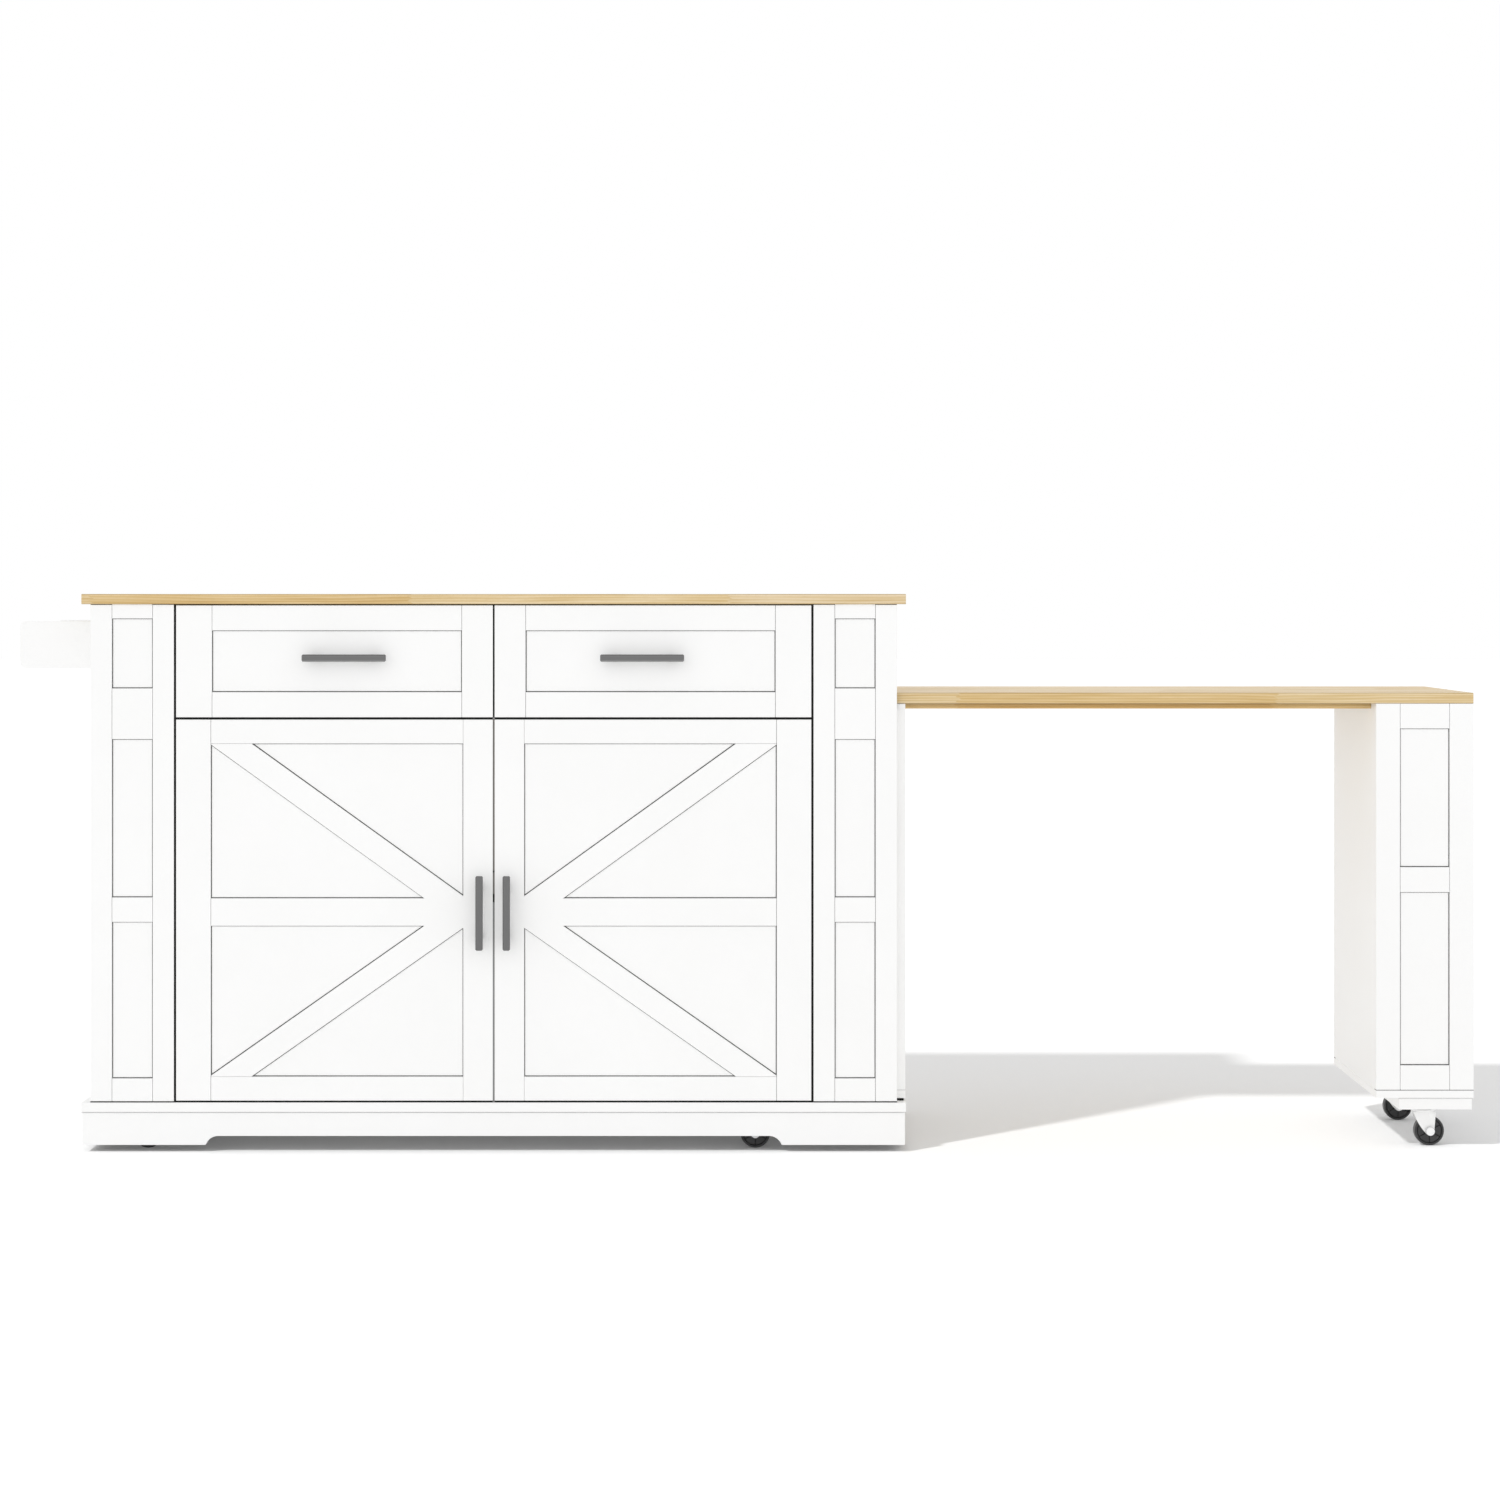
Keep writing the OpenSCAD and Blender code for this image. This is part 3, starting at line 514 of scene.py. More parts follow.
class Sheet:
    """A node tree that is filled with short calls."""

    def __init__(self, tree: bpy.types.NodeTree) -> None:
        """Keeps the tree that the calls fill."""
        self.tree = tree

    def node(self, kind: str, inputs: dict | None = None,
             **settings: object) -> dict[int | str, Wire]:
        """Adds a node.

        Args:
            kind: Blender's name of the node's type.
            inputs: what its inputs are fed with, by name or number.
            **settings: the node's own properties.

        Returns:
            Its outputs as wires, by name and by number.
        """
        made = self.tree.nodes.new(kind)
        for key, value in settings.items():
            setattr(made, key, value)
        self.feed(made, inputs or {})
        wires = [Wire(self, socket) for socket in made.outputs]
        return {**dict(enumerate(wires)), **{wire.socket.name: wire for wire in wires}}

    def feed(self, node: bpy.types.Node, inputs: dict) -> None:
        """Links inputs of a node to wires, or sets them to constants.

        Args:
            node: the node.
            inputs: wires or constants, by name or number.
        """
        for key, value in inputs.items():
            if isinstance(value, Wire):
                self.tree.links.new(value.socket, node.inputs[key])
            else:
                node.inputs[key].default_value = value

    def mix(self, share: object, a: object, b: object, kind: str = "MIX") -> Wire:
        """A colour between a and b.

        Args:
            share: 0 for a, 1 for b.
            a: a wire or a colour.
            b: another.
            kind: how b is laid over a.

        Returns:
            The colour.
        """
        a, b = ((*v, 1.0) if isinstance(v, tuple) else v for v in (a, b))
        return self.node("ShaderNodeMix", {0: share, 6: a, 7: b}, data_type="RGBA",
                         blend_type=kind)[2]

    def mark(self) -> Wire:
        """The mark that the piece's own mesh carries."""
        return self.node("ShaderNodeAttribute", attribute_name="mark")["Fac"]


class Effect:
    """A shader node group that several finishes share."""

    kinds: ClassVar[dict] = {"value": "NodeSocketFloat", "vector": "NodeSocketVector",
                             "colour": "NodeSocketColor"}

    def __init__(self, name: str, inputs: dict, outputs: dict) -> None:
        """Makes the empty group.

        Args:
            name: the group's name.
            inputs: socket name to its kind, or to the usual value of a number.
            outputs: socket name to kind.
        """
        self.tree = bpy.data.node_groups.new(name, "ShaderNodeTree")
        for sockets, in_out in ((inputs, "INPUT"), (outputs, "OUTPUT")):
            for key, kind in sockets.items():
                number = isinstance(kind, float)
                made = self.tree.interface.new_socket(
                    name=key, in_out=in_out, socket_type=self.kinds["value" if number else kind])
                if number:
                    made.default_value = kind
        self.sheet = Sheet(self.tree)
        self.given = self.sheet.node("NodeGroupInput")

    def send(self, **values: Wire) -> "Effect":
        """Links the group's outputs and gives the group back."""
        self.sheet.node("NodeGroupOutput", {key.title(): wire for key, wire in values.items()})
        return self

    def place(self, sheet: Sheet, inputs: dict) -> dict[int | str, Wire]:
        """Puts the group into a material with its own values."""
        return sheet.node("ShaderNodeGroup", node_tree=self.tree, inputs=inputs)


def make_fine_texture() -> Effect:
    """Orange peel and faint unevenness, for paint, moulded plastic and plated metal.

    Height is fine noise at the given scale less rare small pits, and Tone slow noise
    from 0 to 1.

    Returns:
        The group.
    """
    made = Effect("fine_texture", {"Vector": "vector", "Scale": 900.0, "Slow Scale": 7.0},
                  {"Height": "value", "Tone": "value"})
    given = made.given
    fine = given["Vector"].noise(given["Scale"], 2.5, 0.55)
    slow = given["Vector"].noise(given["Slow Scale"], 3.0, 0.6)
    return made.send(height=fine - fine.remap(0.24, 0.20), tone=slow)


def make_staves() -> Effect:
    """The layout of a finger-jointed butcher block: rows along X, cut into blocks.

    The row is the floor of Y over the stave width. Each row is pushed along X by a share
    of the stave length that steps unevenly from row to row, plus a zigzag of the fingers
    over Y + Z, and the block is the floor of that X over the stave length. Seed is a random
    colour per block and Shade a number from 0 to 1 that differs much between neighbours.
    Joint is 1 on the glue lines between rows and less on those between a row's blocks.

    Returns:
        The group.
    """
    made = Effect("stave_layout", {"Vector": "vector", "Width": 0.05, "Length": 0.3,
                                   "Finger": 0.006},
                  {"Seed": "colour", "Shade": "value", "Joint": "value", "Local": "vector"})
    given = made.given
    growth, step, first = 0.04, 0.639, 0.2325
    by_block, by_row, start = 0.455, 0.645, 0.175
    slope, end_share = 2.4, 0.35
    parts = made.sheet.node("ShaderNodeSeparateXYZ", {0: given["Vector"]})
    x, y, z = (parts[k] for k in range(3))
    across = y / given["Width"]
    row = across.math("FLOOR")
    push = (row * (row * growth + step) + first).math("FRACT")
    zigzag = (y + z).math("PINGPONG", given["Finger"])
    along = (x + zigzag * slope) / given["Length"] + push
    block = along.math("FLOOR")
    shade = (block * by_block + row * by_row + start).math("FRACT")
    place = made.sheet.node("ShaderNodeCombineXYZ", {0: row, 1: block})[0]
    seed = made.sheet.node("ShaderNodeTexWhiteNoise", {"Vector": place}, noise_dimensions="3D")
    side = across.math("PINGPONG", 0.5) * given["Width"]
    end = along.math("PINGPONG", 0.5) * given["Length"]
    joint = side.remap(0.0005, 0.0001).math("MAXIMUM",
                                            end.remap(0.0008, 0.0002, 0.0, end_share))
    local_y = y - (row + 0.5) * given["Width"]
    local = made.sheet.node("ShaderNodeCombineXYZ", {0: x, 1: local_y, 2: z})[0]
    return made.send(seed=seed["Color"], shade=shade, joint=joint, local=local)


def make_wood_grain() -> Effect:
    """Solid wood whose fibres run along X: growth rings, fibres and open pores.

    A point's distance from a pith line along X, bent by slow noise, is divided by the
    ring spacing, and its fraction gives the rings. Streaks and fibres are noises drawn
    out along X, and pores the rare peaks of a finer one. The seed moves each block's pith
    and noise.

    Returns:
        The group.
    """
    made = Effect("wood_grain", {"Vector": "vector", "Seed": "colour", "Ring": 0.004},
                  {"Tone": "value", "Pores": "value", "Height": "value"})
    given = made.given
    pith_depth, bend = 0.62, 0.016
    noise_shift, pith_shift = (9.0, 5.0, 7.0), (0.0, 0.11, 0.09)
    moved = given["Vector"].vector("ADD", given["Seed"].vector("MULTIPLY", noise_shift))

    def drawn_out(along: float, across: float, detail: float, roughness: float) -> Wire:
        """Noise with the given numbers of grains per metre along and across X."""
        stretched = moved.vector("MULTIPLY", (along, across, across))
        return stretched.noise(1.0, detail, roughness)

    slow, streak = drawn_out(2.2, 26.0, 2.0, 0.5), drawn_out(6.0, 130.0, 2.0, 0.5)
    fibre, fleck = drawn_out(7.0, 420.0, 4.0, 0.62), drawn_out(75.0, 1500.0, 1.0, 0.5)
    pith = given["Seed"].vector("SUBTRACT", (0.5, 0.5, 0.0)).vector("MULTIPLY", pith_shift)
    offset = made.sheet.node("ShaderNodeSeparateXYZ", {0: given["Vector"].vector("ADD", pith)})
    depth = offset[2] - pith_depth
    radius = (offset[1].math("POWER", 2.0) + depth.math("POWER", 2.0)).math("SQRT")
    ring = ((radius + slow * bend) / given["Ring"]).math("FRACT")
    band = ring.remap(0.05, 0.75) * ring.remap(1.0, 0.86)
    pores = fleck.remap(0.63, 0.70)
    tone = band * 0.15 + fibre * 0.26 + streak * 0.44
    tone = tone.math("ADD", slow * 0.14, clamp=True)
    return made.send(tone=tone, pores=pores, height=fibre * 0.35 - pores)


EFFECTS: dict[str, Effect] = {}


def effect(name: str) -> Effect:
    """A shared group by name, made on its first use.

    Args:
        name: the group's name.

    Returns:
        The group.
    """
    makers = {"fine_texture": make_fine_texture, "staves": make_staves,
              "wood_grain": make_wood_grain}
    if name not in EFFECTS:
        EFFECTS[name] = makers[name]()
    return EFFECTS[name]


@dataclass(frozen=True)
class Finish:
    """A finish: a colour and a gloss on a fine texture."""

    name: str  # the material's name
    slot: Slot
    colour: Colour  # the base colour, linear
    shade: Colour  # the colour where the slow tone is darkest
    roughness: float = 0.4
    metallic: float = 0.0
    scale: float = 900.0  # fine grains per metre
    relief: float = 0.00002  # the height of the fine grain
    coat: float = 0.0  # the weight of a clear coat
    sheen: float = 0.5  # the level of the reflection under it, 0.5 as on most things
    vary: ClassVar[float] = 0.16  # how much the roughness varies, as a share of it
    coat_share: ClassVar[float] = 0.6  # the coat's own roughness, as a share of it
    made: ClassVar[dict] = {}

    def material(self) -> bpy.types.Material:
        """The finish's material, made on its first use.

        Returns:
            The material.
        """
        if self.name not in self.made:
            self.made[self.name] = self.build()
        return self.made[self.name]

    def build(self) -> bpy.types.Material:
        """Makes the material: coordinates, the finish's own nodes and the shader.

        Returns:
            The material.
        """
        material = bpy.data.materials.new(self.name)
        material.use_nodes = True
        material.diffuse_color = (*self.colour, 1.0)
        sheet = Sheet(material.node_tree)
        look = self.paint(sheet, sheet.node("ShaderNodeTexCoord")["Object"])
        bump = {"Strength": 1.0, "Distance": self.relief, "Height": look.pop("Height")}
        sheet.feed(material.node_tree.nodes["Principled BSDF"], {
            **look, "Normal": sheet.node("ShaderNodeBump", bump)[0],
            "Metallic": self.metallic, "Specular IOR Level": self.sheen,
            "Coat Weight": self.coat,
            "Coat Roughness": self.roughness * self.coat_share})
        return material

    def paint(self, sheet: Sheet, where: Wire) -> dict[str, Wire]:
        """Colour, roughness and height from the fine texture.

        Args:
            sheet: the material's nodes.
            where: the piece's own coordinates.

        Returns:
            What the shader's inputs are fed with, and the height for the relief.
        """
        fine = effect("fine_texture").place(sheet, {"Vector": where, "Scale": self.scale})
        tone, spread = fine["Tone"], self.roughness * self.vary
        return {"Base Color": sheet.mix(tone.remap(0.32, 0.68), self.shade, self.colour),
                "Roughness": tone.remap(0.3, 0.7, self.roughness - spread,
                                        self.roughness + spread),
                "Height": fine["Height"]}


@dataclass(frozen=True)
class Brushed(Finish):
    """Plated or brushed metal with fine lines along one axis."""

    stretch: Triple = (1.0, 1.0, 12.0)  # how much finer the lines are along X, Y and Z
    lines: float = 240.0  # lines per metre before the stretch
    slow: float = 30.0  # scale of the slow tone

    def paint(self, sheet: Sheet, where: Wire) -> dict[str, Wire]:
        """Adds drawn-out noise to the roughness and the relief.

        Args:
            sheet: the material's nodes.
            where: the piece's own coordinates.

        Returns:
            What the shader's inputs are fed with, and the height for the relief.
        """
        lines = where.vector("MULTIPLY", self.stretch).noise(self.lines, 3.0, 0.6)
        fine = effect("fine_texture").place(sheet, {"Vector": where, "Scale": self.scale,
                                                    "Slow Scale": self.slow})
        tone = (lines + fine["Tone"]) * 0.5
        return {"Base Color": sheet.mix(tone.remap(0.3, 0.7), self.shade, self.colour),
                "Roughness": tone.remap(0.25, 0.75, self.roughness * 0.75,
                                        self.roughness * 1.3),
                "Height": lines}


@dataclass(frozen=True)
class ShadePaintedFinish(Finish):
    """A finish with painted light and shade: a second, darker colour where the piece's mark is 1.
    """

    # The painted shade's colour, where the mark is 1.
    rim: Colour = (0.06, 0.06, 0.06)

    def paint(self, sheet: Sheet, where: Wire) -> dict[str, Wire]:
        """Lays the painted shade's colour over the marked faces.

        Args:
            sheet: the material's nodes.
            where: the piece's own coordinates.

        Returns:
            What the shader's inputs are fed with, and the height for the relief.
        """
        look = super().paint(sheet, where)
        look["Base Color"] = sheet.mix(sheet.mark(), look["Base Color"], self.rim)
        return look


@dataclass(frozen=True)
class ButcherBlock(Finish):
    """Clear-coated butcher block: staves of light hardwood glued side by side.

    It is darker where the piece's mark is 1: painted shade along a slab's arrises and towards the
    top of a batten.
    """

    stave: float = 0.05  # width of a stave
    block: float = 0.534  # length between finger joints
    finger: float = 0.004  # length of half a finger
    ring: float = 0.0046  # spacing of the growth rings
    streak: Colour = (0.635, 0.442, 0.182)  # the darker streaks
    dark: Colour = (0.52, 0.31, 0.11)  # the darkest grain
    glue: Colour = (0.46, 0.30, 0.14)  # the glue lines
    painted_wood_shade: Colour = (0.46, 0.43, 0.365)  # what a mark of 1 multiplies the colour by
    stops: tuple = (0.34, 0.47, 0.60, 0.80)  # the tones of the four wood colours
    pore_share: float = 0.3  # how far a pore takes the streaks' colour
    glue_share: float = 0.45  # how far a joint takes the glue's colour
    glue_depth: float = 0.7  # depth of a joint, as a share of a pore's
    matt: Pair = (0.14, 0.06)  # roughness that the tone adds, and that is taken off
    tints: tuple = ((0.0, (0.95, 0.90, 0.80)), (0.25, (1.0, 1.0, 1.0)),
                    (0.5, (1.03, 1.06, 1.16)), (1.0, (1.05, 1.11, 1.36)))  # by block

    def paint(self, sheet: Sheet, where: Wire) -> dict[str, Wire]:
        """Lays out the staves, grains each one and tints it by its own shade.

        Args:
            sheet: the material's nodes.
            where: the piece's own coordinates.

        Returns:
            What the shader's inputs are fed with, and the height for the relief.
        """
        layout = effect("staves").place(sheet, {"Vector": where, "Width": self.stave,
                                                "Length": self.block, "Finger": self.finger})
        grain = effect("wood_grain").place(sheet, {"Vector": layout["Local"],
                                                   "Seed": layout["Seed"], "Ring": self.ring})
        tone, joint = grain["Tone"], layout["Joint"]
        wood = tone.ramp(list(zip(self.stops,
                                  (self.colour, self.shade, self.streak, self.dark))))
        wood = sheet.mix(1.0, wood, layout["Shade"].ramp(self.tints), "MULTIPLY")
        wood = sheet.mix(grain["Pores"] * self.pore_share, wood, self.streak)
        wood = sheet.mix(joint * self.glue_share, wood, self.glue)
        painted_wood_shade = sheet.mix(sheet.mark(), (1.0, 1.0, 1.0), self.painted_wood_shade)
        return {"Base Color": sheet.mix(1.0, wood, painted_wood_shade, "MULTIPLY"),
                "Roughness": tone * self.matt[0] + (self.roughness - self.matt[1]),
                "Height": grain["Height"] - joint * self.glue_depth}


@dataclass(frozen=True)
class Plywood(Finish):
    """Birch plywood: the piece's mark runs from 0 on one face to 1 on the other."""

    plies: float = 7.0  # number of plies between the faces
    core: Colour = (0.44, 0.29, 0.15)  # the plies that show their end grain
    ring: float = 0.02  # spacing of the growth rings
    seed: tuple = (0.31, 0.62, 0.17, 1.0)  # which part of the wood the veneer shows
    skin: Pair = (0.04, 0.06)  # the marks between which a face gives way to the plies
    matt: float = 0.2  # roughness that end grain adds

    def paint(self, sheet: Sheet, where: Wire) -> dict[str, Wire]:
        """Grains the faces and bands the edges by ply.

        Args:
            sheet: the material's nodes.
            where: the piece's own coordinates.

        Returns:
            What the shader's inputs are fed with, and the height for the relief.
        """
        grain = effect("wood_grain").place(sheet, {"Vector": where, "Seed": self.seed,
                                                   "Ring": self.ring})
        veneer = grain["Tone"].ramp([(0.2, self.colour), (0.85, self.shade)])
        mark = sheet.mark()
        layer, (a, b) = (mark * self.plies).math("PINGPONG", 1.0), self.skin
        band = layer.remap(0.45, 0.55) * (mark.remap(a, b) * mark.remap(1 - a, 1 - b))
        return {"Base Color": sheet.mix(band, veneer, self.core),
                "Roughness": band * self.matt + self.roughness, "Height": grain["Height"]}


WHITE, WHITE_SHADE = (0.962, 0.962, 0.958), (0.950, 0.950, 0.945)
PAINT = Finish("satin_white_paint", Slot.PAINT, WHITE, WHITE_SHADE, roughness=0.42,
               scale=700.0, relief=0.000018, coat=0.05)
# Panels are painted dark on their faces where the quirks round the fields show them: painted
# shade in the quirks.
PANEL = ShadePaintedFinish("white_panel_with_painted_quirk_shade", Slot.PAINT, WHITE, WHITE_SHADE,
                  roughness=0.42, scale=700.0, relief=0.000018, coat=0.05,
                  rim=(0.09, 0.09, 0.088))
FORK = Finish("gloss_white_paint", Slot.FORK, WHITE, WHITE_SHADE, roughness=0.28,
              scale=500.0, coat=0.2)
WOOD = ButcherBlock("lacquered_butcher_block", Slot.BUTCHER_BLOCK, (0.795, 0.625, 0.365),
                    (0.722, 0.540, 0.270), roughness=0.42, relief=0.00006, coat=0.07)
# The battens are a paler, warmer copy of the top's wood: painted light that makes up for the
# shade they stand in under the top.
BATTEN_PAINTED_LIGHTER = ButcherBlock("lacquered_batten_painted_lighter", Slot.BUTCHER_BLOCK, (0.90, 0.675, 0.335),
                      (0.83, 0.59, 0.252), roughness=0.36, relief=0.00006, coat=0.12,
                      streak=(0.74, 0.49, 0.175))
PLY = Plywood("birch_plywood", Slot.PLYWOOD, (0.84, 0.74, 0.57), (0.72, 0.60, 0.42),
              roughness=0.5, relief=0.00004)
# The handles' grey is lightest on the arrises, as a painted highlight, and darker on the chamfers
# and faces by their marks, as painted shade.
BAR = ShadePaintedFinish("satin_grey_metal_with_painted_light", Slot.HANDLE, (0.222, 0.222, 0.222), (0.206, 0.206, 0.206),
                roughness=0.46, scale=1500.0, relief=0.000012)
ZINC = Brushed("bright_zinc", Slot.ZINC, (0.66, 0.67, 0.69), (0.54, 0.55, 0.58),
               roughness=0.3, metallic=1.0, relief=0.00001)
# The wheels are painted near black in their grooves, where the mark is 1, as shade.
TYRE = ShadePaintedFinish("moulded_grey_wheel", Slot.WHEEL, (0.033, 0.033, 0.034),
                 (0.026, 0.026, 0.027), roughness=0.5, scale=1600.0, relief=0.00003,
                 rim=(0.002, 0.002, 0.002))
# Black moulding for the catch, also used for strips, pads and tape that are painted shade in gaps
# and joints.
BLACK_AND_SHADE = Finish("black_moulding_and_painted_shade", Slot.CATCH, (0.010, 0.010, 0.010), (0.007, 0.007, 0.007),
               roughness=0.5, scale=1300.0, sheen=0.12)
# Two tones of painted shade for the middle gap.
BROWN_GAP_SHADE = Finish("brown_gap_shade", Slot.CATCH, (0.180, 0.166, 0.155), (0.165, 0.152, 0.142),
                    roughness=0.6, scale=1300.0, sheen=0.2)
GREY_GAP_SHADE = Finish("grey_gap_shade", Slot.CATCH, (0.27, 0.27, 0.27), (0.25, 0.25, 0.25),
                   roughness=0.6, scale=1300.0, sheen=0.2)


@dataclass(frozen=True)
class Screw:
    """A pan-head screw with a cross recess."""

    radius: float = 0.0035  # of the head
    height: float = 0.0018  # of the head
    steps: int = 24  # points round the head
    dome: ClassVar[tuple] = ((0.9, 0.0), (1.0, 0.3), (0.93, 0.72), (0.72, 0.96))
    cross: ClassVar[float] = 0.52  # the recess's share of the radius
    waist: ClassVar[float] = 0.3  # its narrowest radius, as a share of its widest
    floor: ClassVar[Pair] = (0.8, 0.35)  # its floor: shares of its width and of the height

    def add(self, shells: Shells, seat: Point, axis: Axis, way: int) -> None:
        """Adds one screw head.

        The head is turned from the dome's shares of radius and height. Its recess is a
        ring whose radius swells and shrinks four times round: with the waist w it is
        r (w + (1 - w) |cos 2t|^3).

        Args:
            shells: what the screw becomes part of.
            seat: the point that the head's middle sits on.
            axis: the screw's axis.
            way: 1 or -1, the way along the axis that the head stands out.
        """
        turn = np.linspace(0, 2 * math.pi, self.steps, endpoint=False)
        circle = around(turn)
        swell = (self.waist + (1 - self.waist) * np.abs(np.cos(2 * turn)) ** 3)[:, None]
        recess = swell * circle * self.radius * self.cross
        flat = np.stack([*(circle * self.radius * share for share, _ in self.dome),
                         recess, recess * self.floor[0]])
        levels = [self.height * share for _, share in self.dome]
        levels += [self.height, self.height * self.floor[1]]
        levels = np.array(levels)[:, None] * way
        shells.rings(in_space(flat, levels, axis) + np.array(seat, float))

    def rows(self, name: str, body: str, seats: Iterable[Point], axis: Axis = Axis.Y,
             way: int = 1) -> None:
        """Makes one piece of the screws on many seats.

        Args:
            name: the piece's name.
            body: the body that it rides on.
            seats: the points that the heads' middles sit on.
            axis: the screws' axis.
            way: 1 or -1, the way along the axis that the heads stand out.
        """
        shells = Shells()
        for seat in seats:
            self.add(shells, seat, axis, way)
        fit(shells.piece(name), body, ZINC)


PLATE_SCREW, LARGE_SCREW, CUP_SCREW = Screw(), Screw(0.0042, 0.0022), Screw(0.0022, 0.001)
SET_SCREW, PANEL_SCREW = Screw(0.0028, 0.0012), Screw(0.0032, 0.0012)
SUNK_SCREW = Screw(0.0034, 0.0002)


@dataclass(frozen=True)
class WoodSlab:
    """A butcher-block slab with rounded corners and arrises."""

    node: str  # the CAD node that gives its place
    name: str
    body: str
    corner: float = 0.0020  # radius of its upright corners
    least: float = 0.0002  # the least that it is drawn in to
    edge: float = 0.0011  # radius of its arrises
    hold: float = 0.0006  # where beside an arris the flat faces begin anew, to stay flat
    steps: int = 4  # faces across a round

    def outline(self, low: np.ndarray, high: np.ndarray, inward: float) -> np.ndarray:
        """The slab's outline with a quarter round at each corner.

        Args:
            low: the slab's lowest corner.
            high: its highest corner.
            inward: how far the outline is moved inward.

        Returns:
            The points in order.
        """
        r = max(self.corner - inward, self.least)
        turn = np.linspace(0, math.pi / 2, self.steps + 1)
        points = []
        for k, corner in enumerate(rectangle(*high[:2], *low[:2])):
            t = turn + k * math.pi / 2
            points.append(corner - np.sign(around(t[2])) * (inward + r) + r * around(t))
        return np.concatenate(points)

    def build(self) -> None:
        """Carries the outline over the lower arris, up the edge and over the upper one.

        At angle t of an arris the outline lies edge (1 - sin t) inward and edge (1 - cos t)
        from the flat face, and the mark is sin 2t squared: 1 in the arris's middle, where
        the wood is painted darkest as shade.
        """
        low, high = corners(self.node)
        turn = np.linspace(0, math.pi / 2, self.steps + 1)
        start, begin = [0.0], [self.edge + self.hold]
        inward = np.concatenate([begin, self.edge * (1 - np.sin(turn)), start])
        rise = np.concatenate([start, self.edge * (1 - np.cos(turn)), begin])
        mark = np.concatenate([start, np.sin(2 * turn) ** 2, start])
        levels = np.concatenate([low[2] + rise, high[2] - rise[::-1]])
        flat = np.stack([self.outline(low, high, d) for d in mirrored(inward)])
        shells = Shells().rings(in_space(flat, levels[:, None], Axis.Z), marks=mirrored(mark))
        fit(shells.piece(self.name), self.body, WOOD, [self.node])


@dataclass(frozen=True)
class TrimmedFront:
    """Strips that stand on a flat panel, with hairline joints between them.

    Each recess between the strips holds a thin field, which stops short of the strips
    and leaves a fine quirk all round.
    """

    joint: float = 0.00028  # half the width of the gap at a strip's end
    edge: float = 0.0006  # how far the strips' edges are rounded
    quirk: float = 0.0013  # width of the quirk round a field
    field_t: float = 0.0024  # thickness of a field
    field_up: float = 0.24  # how far up a field sits, as a share of the quirk
    field_edge: float = 0.8  # width of its sloping edge, as a share of the strips' edge
    ease: float = 0.0004  # how far the strips stop short of the edge beside a wide gap

    def frame(self, shells: Shells, area: Area, depth: Pair, stiles: Pair,
              rails: Sequence[Pair]) -> None:
        """Adds two stiles and the rails between them.

        Args:
            shells: what the strips become part of.
            area: the frame's x0, z0, x1, z1.
            depth: its front and back.
            stiles: widths of the left and the right stile.
            rails: the lower and upper edge of each rail.
        """
        x0, z0, x1, z1 = area
        left, right, gap = x0 + stiles[0], x1 - stiles[1], self.joint
        for strip in ((x0, z0, left - gap, z1), (right + gap, z0, x1, z1),
                      *((left + gap, low, right - gap, high) for low, high in rails)):
            shells.board(strip, *depth)

    def fields(self, name: str, body: str, outlines: Sequence[np.ndarray], panel: float,
               way: int = -1) -> None:
        """Lays a field into each recess.

        Args:
            name: the new piece's name.
            body: the body that it rides on.
            outlines: the recesses, each a convex outline in X and Z.
            panel: the panel's face.
            way: 1 or -1, the way along Y that the panel faces.
        """
        top = panel + way * self.field_t
        levels = np.array([panel, top - way * self.edge, top])[:, None]
        shells = Shells()
        for outline in outlines:
            raised = outline + (0.0, self.quirk * self.field_up)
            outer = inset(raised, self.quirk)
            inner = inset(raised, self.quirk + self.edge * self.field_edge)
            shells.rings(in_space(np.stack([outer, outer, inner]), levels, Axis.Y))
        fit(shells.piece(name), body, PAINT)

    @staticmethod
    def between(rails: Sequence[Pair], left: float, right: float) -> list[np.ndarray]:
        """The rectangles that lie between neighbouring rails."""
        return [rectangle(left, a[1], right, b[0]) for a, b in zip(rails[:-1], rails[1:])]


